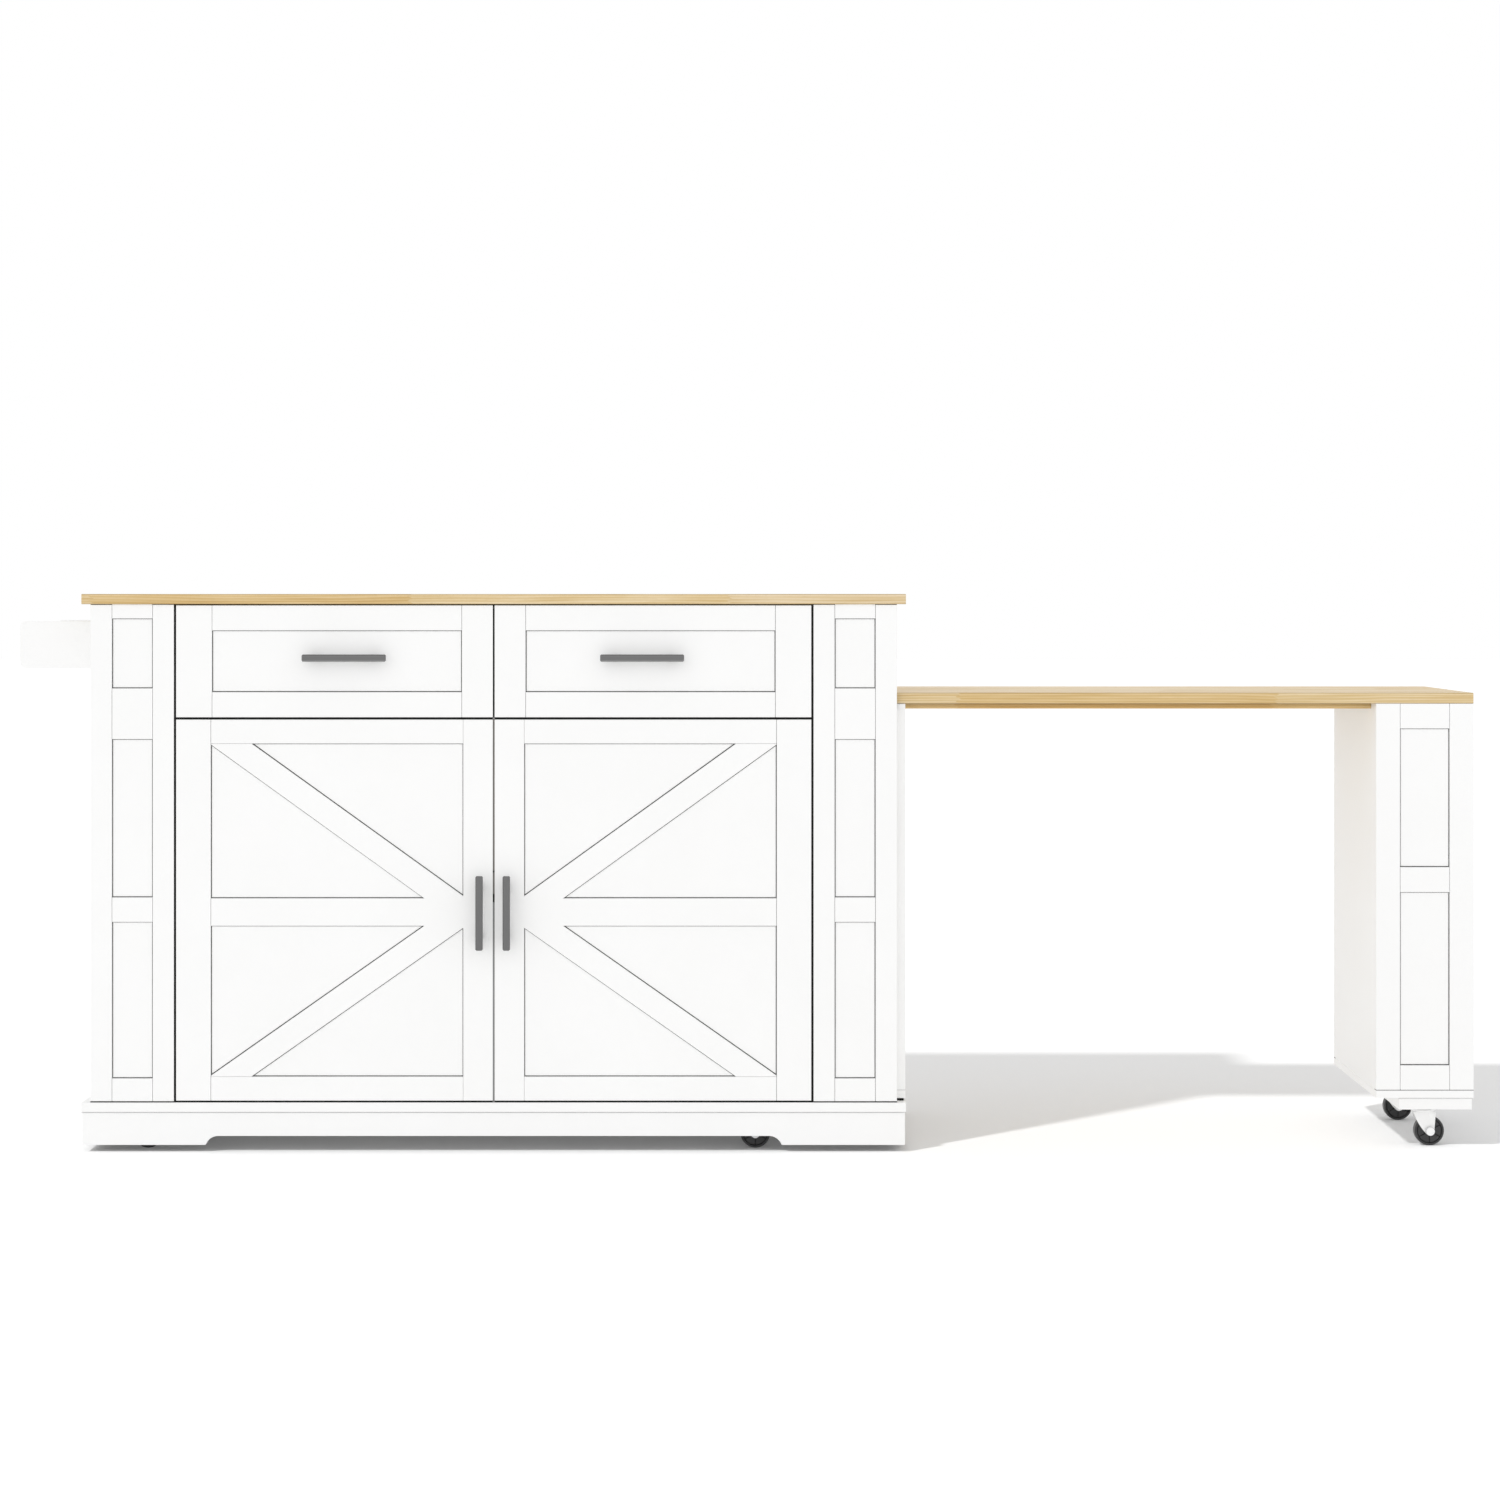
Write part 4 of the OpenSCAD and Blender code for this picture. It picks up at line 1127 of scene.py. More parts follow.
@dataclass(frozen=True)
class Post(TrimmedFront):
    """A framed post at one end of the cabinet's front, with three recesses."""

    side: Side = Side.LEFT  # the end that it stands at
    stile: float = 0.036  # width of its upright strips
    strip_t: float = 0.006  # thickness of the strips
    rails: tuple = ((0.0, 0.040), (0.302, 0.343), (0.608, 0.693), (0.810, 0.834))
    foot: float = 0.0019  # the gap between the post and the deck
    head: float = 0.0009  # the gap between the upright strips and the worktop
    foot_back: float = 0.0005  # how far the foot's pad stands back
    head_back: float = 0.0004  # how far the head's pads stand back
    head_in: float = 0.0003  # how much narrower they are at each side

    def build(self) -> None:
        """Makes the panel, its strips, the fields between them, and black pads at its ends,
        painted shade in the gaps there.
        """
        node = f"{self.side.word}_post"
        low, high = corners(node)
        face, foot = low[1] + self.strip_t, low[2] + self.foot
        rails = [(low[2] + a, low[2] + b) for a, b in self.rails]
        rails[0] = (foot, rails[0][1])
        ease = (0.0, self.ease) if self.side is Side.LEFT else (self.ease, 0.0)
        boards = Shells().board((low[0], foot, high[0], high[2]), face, high[1])
        self.frame(boards, (low[0] + ease[0], foot, high[0] - ease[1], high[2] - self.head),
                   (low[1], face), (self.stile - ease[0], self.stile - ease[1]), rails)
        piece = soften(boards.piece(f"{node}_boards"), self.edge)
        # The panel's face is painted dark in the quirks, as shade.
        fit(mark_faces(piece, -1, face), "cabinet", PANEL, [node])
        recesses = self.between(rails, low[0] + self.stile, high[0] - self.stile)
        self.fields(f"{node}_fields", "cabinet", recesses, face)
        shade_pads = Shells().board((low[0], low[1] + self.foot_back, high[0], high[1]), low[2], foot,
                              Axis.Z)
        for x in (low[0] + self.head_in, high[0] - self.stile + self.head_in):
            shade_pads.board((x, low[1] + self.head_back, x + self.stile - 2 * self.head_in, face),
                       high[2] - self.head, high[2], Axis.Z)
        fit(shade_pads.piece(f"{node}_pads"), "cabinet", BLACK_AND_SHADE)


@dataclass(frozen=True)
class Handle:
    """A bar handle with chamfered long edges, on two round feet."""

    node: str  # the CAD handle that gives its place
    body: str  # the CAD body that it rides on
    along: Axis  # the direction of the bar
    chamfer: float = 0.0021  # width of the chamfers on its front
    arris: float = 0.0005  # half the width of the face between its front and a chamfer
    tip: float = 0.0016  # how far the ends are drawn in
    arris_d: float = 0.71  # its depth, as a share of that half
    back_chamfer: float = 0.3  # the chamfers on its back, as a share of the front's
    bar_t: float = 0.010  # depth of the bar
    foot_r: float = 0.0045  # radius of the feet
    sunk: float = 0.001  # how far they reach into the bar
    foot_inset: float = 0.022  # from an end of the bar to the middle of its foot
    # The feet's outline: shares of their radius, and distances from the front panel.
    foot: ClassVar[tuple] = ((0.86, 0.004), (0.9, 0.0015), (1.0, 0.0006), (1.0, 0.0))
    leans: ClassVar[Triple] = (0.3, 0.8, 0.99)  # where chamfers, arrises and the front begin
    plain: ClassVar[float] = 0.45  # the mark of its flat faces; a higher one is darker
    # The marks of the arrises and of the chamfers toward high and low coordinates: a low mark is
    # a painted highlight, a high one painted shade.
    marks: ClassVar[dict] = {Axis.X: (0.0, 0.82, 0.12), Axis.Z: (0.38, 0.48, 0.66)}

    def build(self) -> None:
        """Carries the bar's section along its length and stands it on its feet."""
        low, high = corners(self.node)
        across = Axis.Z if self.along is Axis.X else Axis.X
        a0, a1 = low[across.value], high[across.value]
        l0, l1 = low[self.along.value], high[self.along.value]
        front, back = low[1], low[1] + self.bar_t
        c, k = self.chamfer, self.chamfer * self.back_chamfer
        e, h = self.arris, self.arris * self.arris_d
        section = np.array([(a0 + c + e, front), (a1 - c - e, front), (a1 - c + h, front + h),
                            (a1, front + c), (a1, back - k), (a1 - k, back), (a0 + k, back),
                            (a0, back - k), (a0, front + c), (a0 + c - h, front + h)])
        middle = np.array([(a0 + a1) / 2, (front + back) / 2])
        half = np.array([(a1 - a0) / 2, (back - front) / 2])
        drawn_in = middle + (section - middle) * (1 - self.tip / half)
        flat = np.stack([drawn_in, section, section, drawn_in])
        rings = np.empty((4, len(section), 3))
        rings[..., across.value] = flat[..., 0]
        rings[..., 1] = flat[..., 1]
        rings[..., self.along.value] = np.array([l0, l0 + self.tip, l1 - self.tip, l1])[:, None]
        bar = Shells().rings(rings)
        profile = [(self.foot_r * self.foot[0][0], back - self.sunk)]
        profile += [(self.foot_r * share, high[1] - rise) for share, rise in self.foot]
        for end in (l0 + self.foot_inset, l1 - self.foot_inset):
            centre = np.zeros(3)
            centre[[self.along.value, across.value]] = end, (a0 + a1) / 2
            bar.turned(profile, centre, 28)
        piece = soften(bar.piece(f"{self.node}_bar"), FINE_EDGE)
        self.shade(piece, across, front)
        fit(piece, self.body, BAR, [self.node])

    def shade(self, piece: Piece, across: Axis, front: float) -> None:
        """Marks each face of the bar by how far its normal leans from the front, for painted
        highlights and painted shade.

        An arris leans by up to 37 degrees and a chamfer by up to 70; the sign of the
        normal across the bar tells a chamfer's side.

        Args:
            piece: the bar on its feet.
            across: the axis across the bar.
            front: the place of its front along Y.
        """
        normals, centres = face_facts(piece)
        on_bar = centres[:, 1] < front + self.bar_t
        arris, high_side, low_side = self.marks[self.along]
        lean, side = -normals[:, 1], normals[:, across.value]
        values = np.full(len(lean), self.plain, np.float32)
        steep, slight, flat = self.leans
        chamfer = (lean > steep) & (lean < slight) & on_bar
        values[chamfer & (side > 0)] = high_side
        values[chamfer & (side < 0)] = low_side
        values[(lean >= slight) & (lean < flat) & on_bar] = arris
        set_marks(piece, values)


@dataclass(frozen=True)
class MovingFront(TrimmedFront):
    """The front of something that opens, with strips, fields and a handle."""

    side: Side = Side.LEFT  # the side of the cabinet that it is on
    kind: ClassVar[str] = ""  # what it belongs to

    @property
    def body(self) -> str:
        """The CAD body that it is part of."""
        return f"{self.side.word}_{self.kind}"

    def panel(self, part: str) -> None:
        """Copies the panel, whose face is painted dark, as shade, where a quirk shows it.

        Args:
            part: the end of its CAD node's name.
        """
        board = soften(copy_of(f"{self.body}_{part}", f"{self.body}_board"), self.edge)
        mark_faces(board, -1, corners(f"{self.body}_trim")[1][1])
        fit(board, self.body, PANEL, [f"{self.body}_{part}"])

    def trim(self, strips: Shells) -> None:
        """Makes one piece of the strips."""
        piece = soften(strips.piece(f"{self.body}_strips"), self.edge)
        fit(piece, self.body, PAINT, [f"{self.body}_trim"])


@dataclass(frozen=True)
class Door(MovingFront):
    """A door: a flat panel, its strips and braces, a handle and the hinge cups.

    The mid rail and both braces run into the handle stile without a joint and make an
    arrow that points to the cabinet's middle.
    """

    kind: ClassVar[str] = "door"
    outer: float = 0.0585  # width of the stile at the hinges
    inner: float = 0.0495  # width of the stile with the handle
    top: float = 0.041  # height of the top rail
    top_ease: float = 0.0009  # how far the top rail stops short of the door's top
    bottom: float = 0.040  # height of the bottom rail
    mid: float = 0.046  # height of the middle rail
    lower: float = 0.2525  # height of the lower recess
    cover: float = 0.0680  # how much of the top or bottom rail a brace covers
    tip: float = 0.0652  # how much of the middle rail it covers
    laps: Pair = (0.0038, 0.0033)  # from the middle rail to the braces on the handle stile
    corner: float = 0.0018  # from the hinge stile's corners to the braces' other edges
    cup_r: float = 0.0175  # radius of a hinge cup
    cup_d: float = 0.0115  # its depth
    wall: float = 0.001  # its wall
    lip_r: float = 0.0195  # radius of its flange
    lip_t: float = 0.0008  # thickness of its flange and of the strike
    lip_round: Pair = (0.0004, 0.0003)  # width and height of the flange's rounded edges
    well: float = 0.3  # radius of the hole in its floor, as a share
    bridge: Triple = (0.0055, 0.011, 0.0045)  # half its width and height, and its level
    screw_up: float = 0.0135  # from a cup's middle to its screws
    strike_w: float = 0.016  # width of the strike

    def build(self) -> None:
        """Makes the panel, the strips, the handle and the hardware."""
        self.panel("panel")
        self.strips()
        Handle(f"{self.body}_handle", self.body, Axis.Z).build()
        self.hardware()

    def strips(self) -> None:
        """Makes the arrow, the hinge stile, the top and bottom rails and the fields."""
        low, high = corners(f"{self.body}_trim")
        sign, gap = self.side.value, self.joint
        edge, far = sorted((low[0] * sign, high[0] * sign))
        in0, in1 = edge + self.inner, far - self.outer
        z0, z1 = low[2], high[2]
        low0, mid0 = z0 + self.bottom, z0 + self.bottom + self.lower
        mid1, top0 = mid0 + self.mid, z1 - self.top
        far, z1 = far - self.ease, z1 - self.top_ease
        tip, run, end = in0 + self.tip, in1 - self.cover, in1 - gap
        upper, under = mid1 + self.laps[0], mid0 - self.laps[1]
        over, base = top0 - self.corner, low0 + self.corner
        arrow = np.array([
            (end, mid0), (end, mid1), (tip, mid1), (end, over), (end, top0 - gap),
            (run, top0 - gap), (in0, upper), (in0, z1), (edge, z1), (edge, z0), (in0, z0),
            (in0, under), (run, low0 + gap), (end, low0 + gap), (end, base), (tip, mid0)])
        shells = Shells()
        for outline in (arrow, rectangle(in1 + gap, z0, far, z1),
                        rectangle(in0 + gap, top0, end, z1),
                        rectangle(in0 + gap, z0, end, low0)):
            shells.slab(outline * (sign, 1.0), low[1], high[1])
        self.trim(shells)
        recesses = (((tip, mid1), (in1, mid1), (in1, over)),
                    ((in0, upper), (run, top0), (in0, top0)),
                    ((tip, mid0), (in1, base), (in1, mid0)),
                    ((in0, under), (in0, low0), (run, low0)))
        self.fields(f"{self.body}_fields", self.body,
                    [np.array(r) * (sign, 1.0) for r in recesses], high[1])

    def hardware(self) -> None:
        """Makes the hinge cups with their flanges and screws, and the catch's strike."""
        body = self.body
        low, high = corners(f"{body}_hardware")
        catch_low, catch_high = corners("magnetic_catch")
        right = self.side is Side.RIGHT
        hinge_x = high[0] - self.lip_r if right else low[0] + self.lip_r
        strike_x = low[0] if right else high[0] - self.strike_w
        inner, lip, back = self.cup_r - self.wall, self.lip_r, high[1]
        deep, floor, under = back - self.cup_d, back - self.cup_d + self.wall, back - self.lip_t
        hole, (w, h) = inner * self.well, self.lip_round
        profile = [(hole, floor), (inner - self.wall, floor), (inner, floor + self.wall),
                   (inner, back - h), (inner + w, back), (lip - w, back), (lip, back - h),
                   (lip, under), (self.cup_r, under), (self.cup_r, deep), (hole, deep)]
        cups, heights = Shells(), (low[2] + lip, high[2] - lip)
        wide, tall, level = self.bridge
        for z in heights:
            cups.turned(profile, (hinge_x, 0.0, z), 48)
            cups.board((hinge_x - wide, z - tall, hinge_x + wide, z + tall), floor, deep + level)
        cups.board((strike_x, catch_low[2], strike_x + self.strike_w, catch_high[2]), under, back)
        fit(soften(cups.piece(f"{body}_hinge_cups"), FINE_EDGE), body, ZINC,
            [f"{body}_hardware"])
        CUP_SCREW.rows(f"{body}_screws", body, [
            (hinge_x, floor, z + dz) for z in heights for dz in (-self.screw_up, self.screw_up)])


@dataclass(frozen=True)
class Drawer(MovingFront):
    """A drawer: front panel, strips, handle, plywood box and moving rails."""

    kind: ClassVar[str] = "drawer"
    outer: float = 0.0605  # width of the outer stile
    inner: float = 0.052  # width of the inner stile
    rail: float = 0.042  # height of the rails
    side_t: float = 0.012  # thickness of the box's sides
    bottom_t: float = 0.006  # thickness of its bottom
    groove: float = 0.008  # height of the bottom above the sides' lower edges
    ply_edge: float = 0.0005  # how far the box's edges are rounded
    rail_edge: float = 0.0003  # and those of its rails

    def build(self) -> None:
        """Makes the front, the strips, the handle, the box and the rails."""
        body = self.body
        low, high = corners(f"{body}_trim")
        self.panel("front")
        outer = self.outer - self.ease
        stiles, x0, x1 = (self.inner, outer), low[0], high[0] - self.ease
        if self.side is Side.LEFT:
            stiles, x0, x1 = (outer, self.inner), low[0] + self.ease, high[0]
        rails = [(low[2], low[2] + self.rail), (high[2] - self.rail, high[2])]
        strips = Shells()
        self.frame(strips, (x0, low[2], x1, high[2]), (low[1], high[1]), stiles, rails)
        self.trim(strips)
        recess = self.between(rails, x0 + stiles[0], x1 - stiles[1])
        self.fields(f"{body}_field", body, recess, high[1])
        handle = Handle(f"{body}_handle", body, Axis.X)
        handle.build()
        self.box(handle)
        dress(f"{body}_runners", f"{body}_rails", body, ZINC, self.rail_edge)

    def box(self, handle: Handle) -> None:
        """Makes the plywood box and the handle's screws inside it.

        Args:
            handle: the handle on its front.
        """
        body = self.body
        low, high = corners(f"{body}_box")
        t, floor = self.side_t, low[2] + self.groove
        x0, y0, x1, y1 = low[0] + t, low[1] + t, high[0] - t, high[1] - t
        boards = Shells()
        for near, far in ((low[0], x0), (x1, high[0])):
            boards.board((low[1], low[2], high[1], high[2]), near, far, Axis.X)
        for near, far in ((low[1], y0), (y1, high[1])):
            boards.board((x0, low[2], x1, high[2]), near, far)
        boards.board((x0, y0, x1, y1), floor, floor + self.bottom_t, Axis.Z)
        fit(soften(boards.piece(f"{body}_ply_box"), self.ply_edge), body, PLY, [f"{body}_box"])
        bar_low, bar_high = corners(handle.node)
        z = (bar_low[2] + bar_high[2]) / 2
        LARGE_SCREW.rows(f"{body}_screws", body, [
            (x, y0, z) for x in (bar_low[0] + handle.foot_inset,
                                 bar_high[0] - handle.foot_inset)])


@dataclass(frozen=True)
class Cabinet:
    """The body of the island: base, boards, shelves, bed and fixed hardware."""

    edge: float = 0.0008  # how far painted edges are rounded
    shade_strip_w: float = 0.0029  # width of the black strips in the gaps, painted shade
    shade_strip_lip: float = 0.0004  # how much wider they are on each side beside the strips
    shade_strip_setback: float = 0.0013  # from the fronts' faces back to those strips
    foot_share: float = 0.85  # height of the lowest strip, as a share of the width
    top_share: float = 0.6  # height of the uppermost one
    clear: float = 0.0002  # gap between the middle strip and the boards beside it
    stud_up: float = 0.036  # height of the small dark stud above the catch
    stud_h: float = 0.003  # its own height
    line_up: float = 0.0136  # height of the dark line, painted shade, across the side support panel
    line_t: float = 0.0004  # its thickness
    line_y: Pair = (0.0001, 0.002)  # how far it stands out and goes in
    pad_in: Triple = (0.0005, 0.003, 0.001)  # that panel's black pad, painted shade under it: in at the left, right, face
    catch_in: float = 0.001  # how far the catch's strip reaches behind the fronts
    shade_tape_t: float = 0.0004  # thickness of the black tape between deck and plinth, painted shade in the joint
    shade_tape_w: float = 0.008  # its width
    arm_t: float = 0.009  # height of the hinge arms above their plates
    plate_h: float = 0.048  # height of the hinge plates
    plate_t: float = 0.003  # thickness of the hinge plates
    plate_in: float = 0.010  # from their front to the fixing screws
    fixing: Pair = (-0.0165, 0.0165)  # heights of those screws on a plate
    setting: Pair = (0.008, 0.026)  # from the front to the set screws on an arm
    boards: ClassVar[dict] = {
        "deck_board": "deck", "front_plinth": "front_plinth_board",
        "side_plinths": "side_plinth_boards", "back_plinth": "back_plinth_board",
        "left_side_panel": "left_side_board", "right_side_panels": "right_side_boards",
        "back_panel": "back_board", "table_bed": "bed_board",
        "side_partitions": "partition_boards", "centre_partition": "middle_board",
        "drawer_walls": "drawer_wall_boards", "shelves": "shelf_boards",
        "side_support_panel": "side_support_board"}
    # The fixed hardware: node, name, finish, width of the rounds and faces across them.
    fixed: ClassVar[tuple] = (("shelf_pins", "shelf_studs", ZINC, 0.0004, 2),
                              ("cabinet_runners", "runner_channels", ZINC, 0.0003, 2),
                              ("hinge_plates", "hinge_arms", ZINC, 0.0012, 3),
                              ("magnetic_catch", "catch_body", BLACK_AND_SHADE, 0.0008, 2))
    back_edge: float = 0.0075  # from the back panel's edges to its screws
    ends_in: Pair = (0.09, 0.06)  # from its corners to the first ones, across and up
    counts: tuple[int, int] = (6, 5)  # screws across and up

    def build(self) -> None:
        """Makes the boards and the hardware that stays with them."""
        for node, name in self.boards.items():
            dress(node, name, "cabinet", PAINT, self.edge)
        for node, name, finish, edge, segments in self.fixed:
            dress(node, name, "cabinet", finish, edge, segments)
        self.hinge_screws()
        self.gap_shades()
        self.shade_tape()
        self.back_screws()

    def gap_shades(self) -> None:
        """Sets thin black strips into the gaps round the doors and drawer fronts, as painted
        shade in the gaps.

        They are fixed to the boards behind the fronts and fill most of each gap. Beside
        the fronts' strips, which stop a little short of the fronts' edges, one is wider.
        """
        door, drawer = corners("left_door_panel"), corners("left_drawer_front")
        right, post = corners("right_door_panel"), corners("left_post")
        front, step, back = post[0][1] + self.shade_strip_setback, door[0][1], door[1][1]
        top, foot = corners("worktop")[0][2], corners("deck_board")[1][2]
        half, lip = self.shade_strip_w / 2, self.shade_strip_lip
        middle = (door[1][0] + right[0][0]) / 2
        left = (post[1][0] + door[0][0]) / 2
        far = (corners("right_post")[0][0] + right[1][0]) / 2
        gap_shades = Shells()
        for x in (left, far):
            gap_shades.board((x - half, foot, x + half, top), step, back)
            gap_shades.board((x - half - lip, foot, x + half + lip, top), front, step)
        rows = [(foot, foot + self.shade_strip_w * self.foot_share, 0.0),
                (top - self.shade_strip_w * self.top_share, top, 0.0),
                (door[1][2] + self.clear, drawer[0][2] - self.clear, lip * 2)]
        for x0, x1 in ((left + half, middle - half), (middle + half, far - half)):
            for z0, z1, wide in rows:
                gap_shades.board((x0, z0, x1, z1), step, back)
                gap_shades.board((x0 + lip, z0 - wide, x1 - lip, z1), front, step)
        # A black pad under the side support panel and a thin line across its front, both painted
        # shade.
        low, high = corners("side_support_panel")
        x_in, far_in, y_in = self.pad_in
        gap_shades.board((low[0] + x_in, foot, high[0] - far_in, low[2]), low[1] + y_in,
                    high[1] - y_in)
        line, (out, deep) = low[2] + self.line_up, self.line_y
        gap_shades.board((low[0], line, high[0], line + self.line_t), low[1] - out, low[1] + deep)
        self.centre_gap_shades(middle, (front, back), (foot, door[1][2], drawer[0][2], top), gap_shades)
        fit(gap_shades.piece("gap_shade_strips"), "cabinet", BLACK_AND_SHADE)

    def centre_gap_shades(self, x: float, depth: Pair, levels: Point, dark: Shells) -> None:
        """Fills the middle gap with painted shade: paler strips behind the doors, with the catch
        black among it.

        Args:
            x: the middle of the gap.
            depth: the seals' front and back.
            levels: the deck's top, the doors' top, the drawers' foot and the worktop.
            dark: the black strips, which the catch's own strip joins.
        """
        x0, x1 = x - self.shade_strip_w / 2, x + self.shade_strip_w / 2
        catch, over = (corner[2] for corner in corners("magnetic_catch"))
        foot, door_top, drawer_foot, top = levels
        stud = over + self.stud_up
        for name, finish, z0, z1 in (
                ("gap_shade_under_catch", GREY_GAP_SHADE, foot, catch),
                ("gap_shade_over_catch", BROWN_GAP_SHADE, over, door_top),
                ("gap_shade_at_crossing", GREY_GAP_SHADE, door_top, drawer_foot),
                ("gap_shade_between_drawers", BLACK_AND_SHADE, drawer_foot, top)):
            fit(Shells().board((x0, z0, x1, z1), *depth).piece(name), "cabinet", finish)
        for z0, z1 in ((catch, over), (stud, stud + self.stud_h)):
            dark.board((x0, z0, x1, z1), depth[0] - self.clear, depth[1] + self.catch_in)

    def shade_tape(self) -> None:
        """Lays thin black tape into the joint between the deck and the plinth, as painted shade
        in the joint.
        """
        (x0, y0, z), (x1, y1, _) = corners("deck_board")
        t, w = self.shade_tape_t, self.shade_tape_w
        strips = Shells()
        for area in ((x0 + t, y0 + t, x1 - t, y0 + w), (x0 + t, y1 - w, x1 - t, y1 - t),
                     (x0 + t, y0 + w, x0 + w, y1 - w), (x1 - w, y0 + w, x1 - t, y1 - w)):
            strips.board(area, z - t / 2, z + t / 2, Axis.Z)
        fit(strips.piece("plinth_shade_tape"), "cabinet", BLACK_AND_SHADE)

    def hinge_screws(self) -> None:
        """Adds two fixing screws beside each hinge arm and two set screws on it."""
        low, high = corners("hinge_plates")
        screws, heights = Shells(), (low[2] + self.plate_h / 2, high[2] - self.plate_h / 2)
        for edge, way in ((low[0], 1), (high[0], -1)):
            plate, arm = edge + way * self.plate_t, edge + way * (self.plate_t + self.arm_t)
            for z in heights:
                for dz in self.fixing:
                    PLATE_SCREW.add(screws, (plate, high[1] - self.plate_in, z + dz), Axis.X, way)
                for dy in self.setting:
                    SET_SCREW.add(screws, (arm, high[1] - dy, z), Axis.X, way)
        fit(screws.piece("hinge_screws"), "cabinet", ZINC)

    def back_screws(self) -> None:
        """Adds the screws that hold the back panel, spaced along its four edges."""
        low, high = corners("back_panel")
        edge = self.back_edge
        across, up = (np.linspace(low[k] + inward, high[k] - inward, count)
                      for k, inward, count in zip((0, 2), self.ends_in, self.counts))
        seats = [(x, high[1], z) for x in across for z in (low[2] + edge, high[2] - edge)]
        seats += [(x, high[1], z) for x in (low[0] + edge, high[0] - edge) for z in up]
        PANEL_SCREW.rows("back_panel_screws", "cabinet", seats)


@dataclass(frozen=True)
class SideRack:
    """The open rack on the cabinet's left side."""

    edge: float = 0.001  # how far the boards' edges are rounded

    def build(self) -> None:
        """Makes the end boards, and the tray with its rail."""
        dress("rack_end_boards", "rack_ends", "cabinet", PAINT, self.edge, 3)
        dress("rack_tray", "rack_tray_boards", "cabinet", PAINT, self.edge, 3)


@dataclass(frozen=True)
class PullOutTable(TrimmedFront):
    """The table: top, battens, and a framed leg box on its own casters."""

    stile: float = 0.0405  # width of the leg box's upright strips
    rail: float = 0.042  # height of its level strips
    lower: float = 0.291  # height of its lower recess
    strip_t: float = 0.006  # thickness of the strips
    panel_t: float = 0.009  # thickness of the panel behind them
    foot: float = 0.0008  # the gap between the framed fronts and the base
    batten_w: float = 0.040  # width of the battens
    board_edge: float = 0.0008  # how far the boards' edges are rounded
    proud: float = 0.00015  # how far the black tape round the caster board's top, painted shade at that joint, stands out
    shade_tape: Pair = (0.0010, 0.0001)  # how far it reaches below and above the board's top
    pad_back: float = 0.0004  # how far the black pads under the fronts, painted shade in the foot gap, stand back
    sink: float = 0.0001  # how deep the battens' screws sit
    screw_in: float = 0.06  # from the battens' ends to the first screw
    screws: int = 7  # screws in a batten

    def build(self) -> None:
        """Makes the top, the battens and the leg box."""
        WoodSlab("table_top", "table_slab", "table").build()
        low, high = corners("table_battens")
        # Each batten's mark runs from 0 at its foot to 1 at its top, where the wood is painted
        # darker as the shade under the table top.
        battens = Shells()
        for y in (low[1], high[1] - self.batten_w):
            battens.board((low[0], y, high[0], y + self.batten_w), low[2], high[2], Axis.Z)
        fit(soften(battens.piece("table_batten_strips"), self.board_edge), "table", BATTEN_PAINTED_LIGHTER,
            ["table_battens"])
        for node, name in (("leg_box_sides", "leg_side_boards"), ("leg_box_base", "leg_base"),
                           ("caster_board", "caster_support")):
            dress(node, name, "table", PAINT, self.board_edge)
        self.fronts()
        SUNK_SCREW.rows("batten_screws", "table", [
            (x, y, low[2] + self.sink)
            for x in np.linspace(low[0] + self.screw_in, high[0] - self.screw_in, self.screws)
            for y in (low[1] + self.batten_w / 2, high[1] - self.batten_w / 2)], Axis.Z, -1)

    def fronts(self) -> None:
        """Makes the framed front and back of the leg box."""
        low, high = corners("leg_box_fronts")
        shells, shade_pads = Shells(), Shells()
        foot, low0 = low[2] + self.foot, low[2] + self.rail
        mid0 = low0 + self.lower
        area = (low[0], foot, high[0], high[2])
        rails = [(foot, low0), (mid0, mid0 + self.rail), (high[2] - self.rail, high[2])]
        recesses = self.between(rails, low[0] + self.stile, high[0] - self.stile)
        faces = ((low[1], 1, "front"), (high[1], -1, "back"))
        for face, way, name in faces:
            behind = face + way * self.strip_t
            inside = behind + way * self.panel_t
            shells.board(area, *sorted((behind, inside)))
            self.frame(shells, area, tuple(sorted((face, behind))), (self.stile, self.stile),
                       rails)
            self.fields(f"leg_{name}_fields", "table", recesses, behind, -way)
            y0, y1 = sorted((face + way * self.pad_back, inside))
            shade_pads.board((low[0], y0, high[0], y1), low[2], foot, Axis.Z)
        piece = soften(shells.piece("leg_framed_fronts"), self.edge)
        # The panels' faces are painted dark in the quirks, as shade.
        for face, way, _ in faces:
            mark_faces(piece, -way, face + way * self.strip_t)
        fit(piece, "table", PANEL, ["leg_box_fronts"])
        low, high = corners("caster_board")
        shade_pads.board((*(low[:2] - self.proud), *(high[:2] + self.proud)), high[2] - self.shade_tape[0],
                   high[2] + self.shade_tape[1], Axis.Z)
        fit(shade_pads.piece("leg_pads"), "table", BLACK_AND_SHADE)


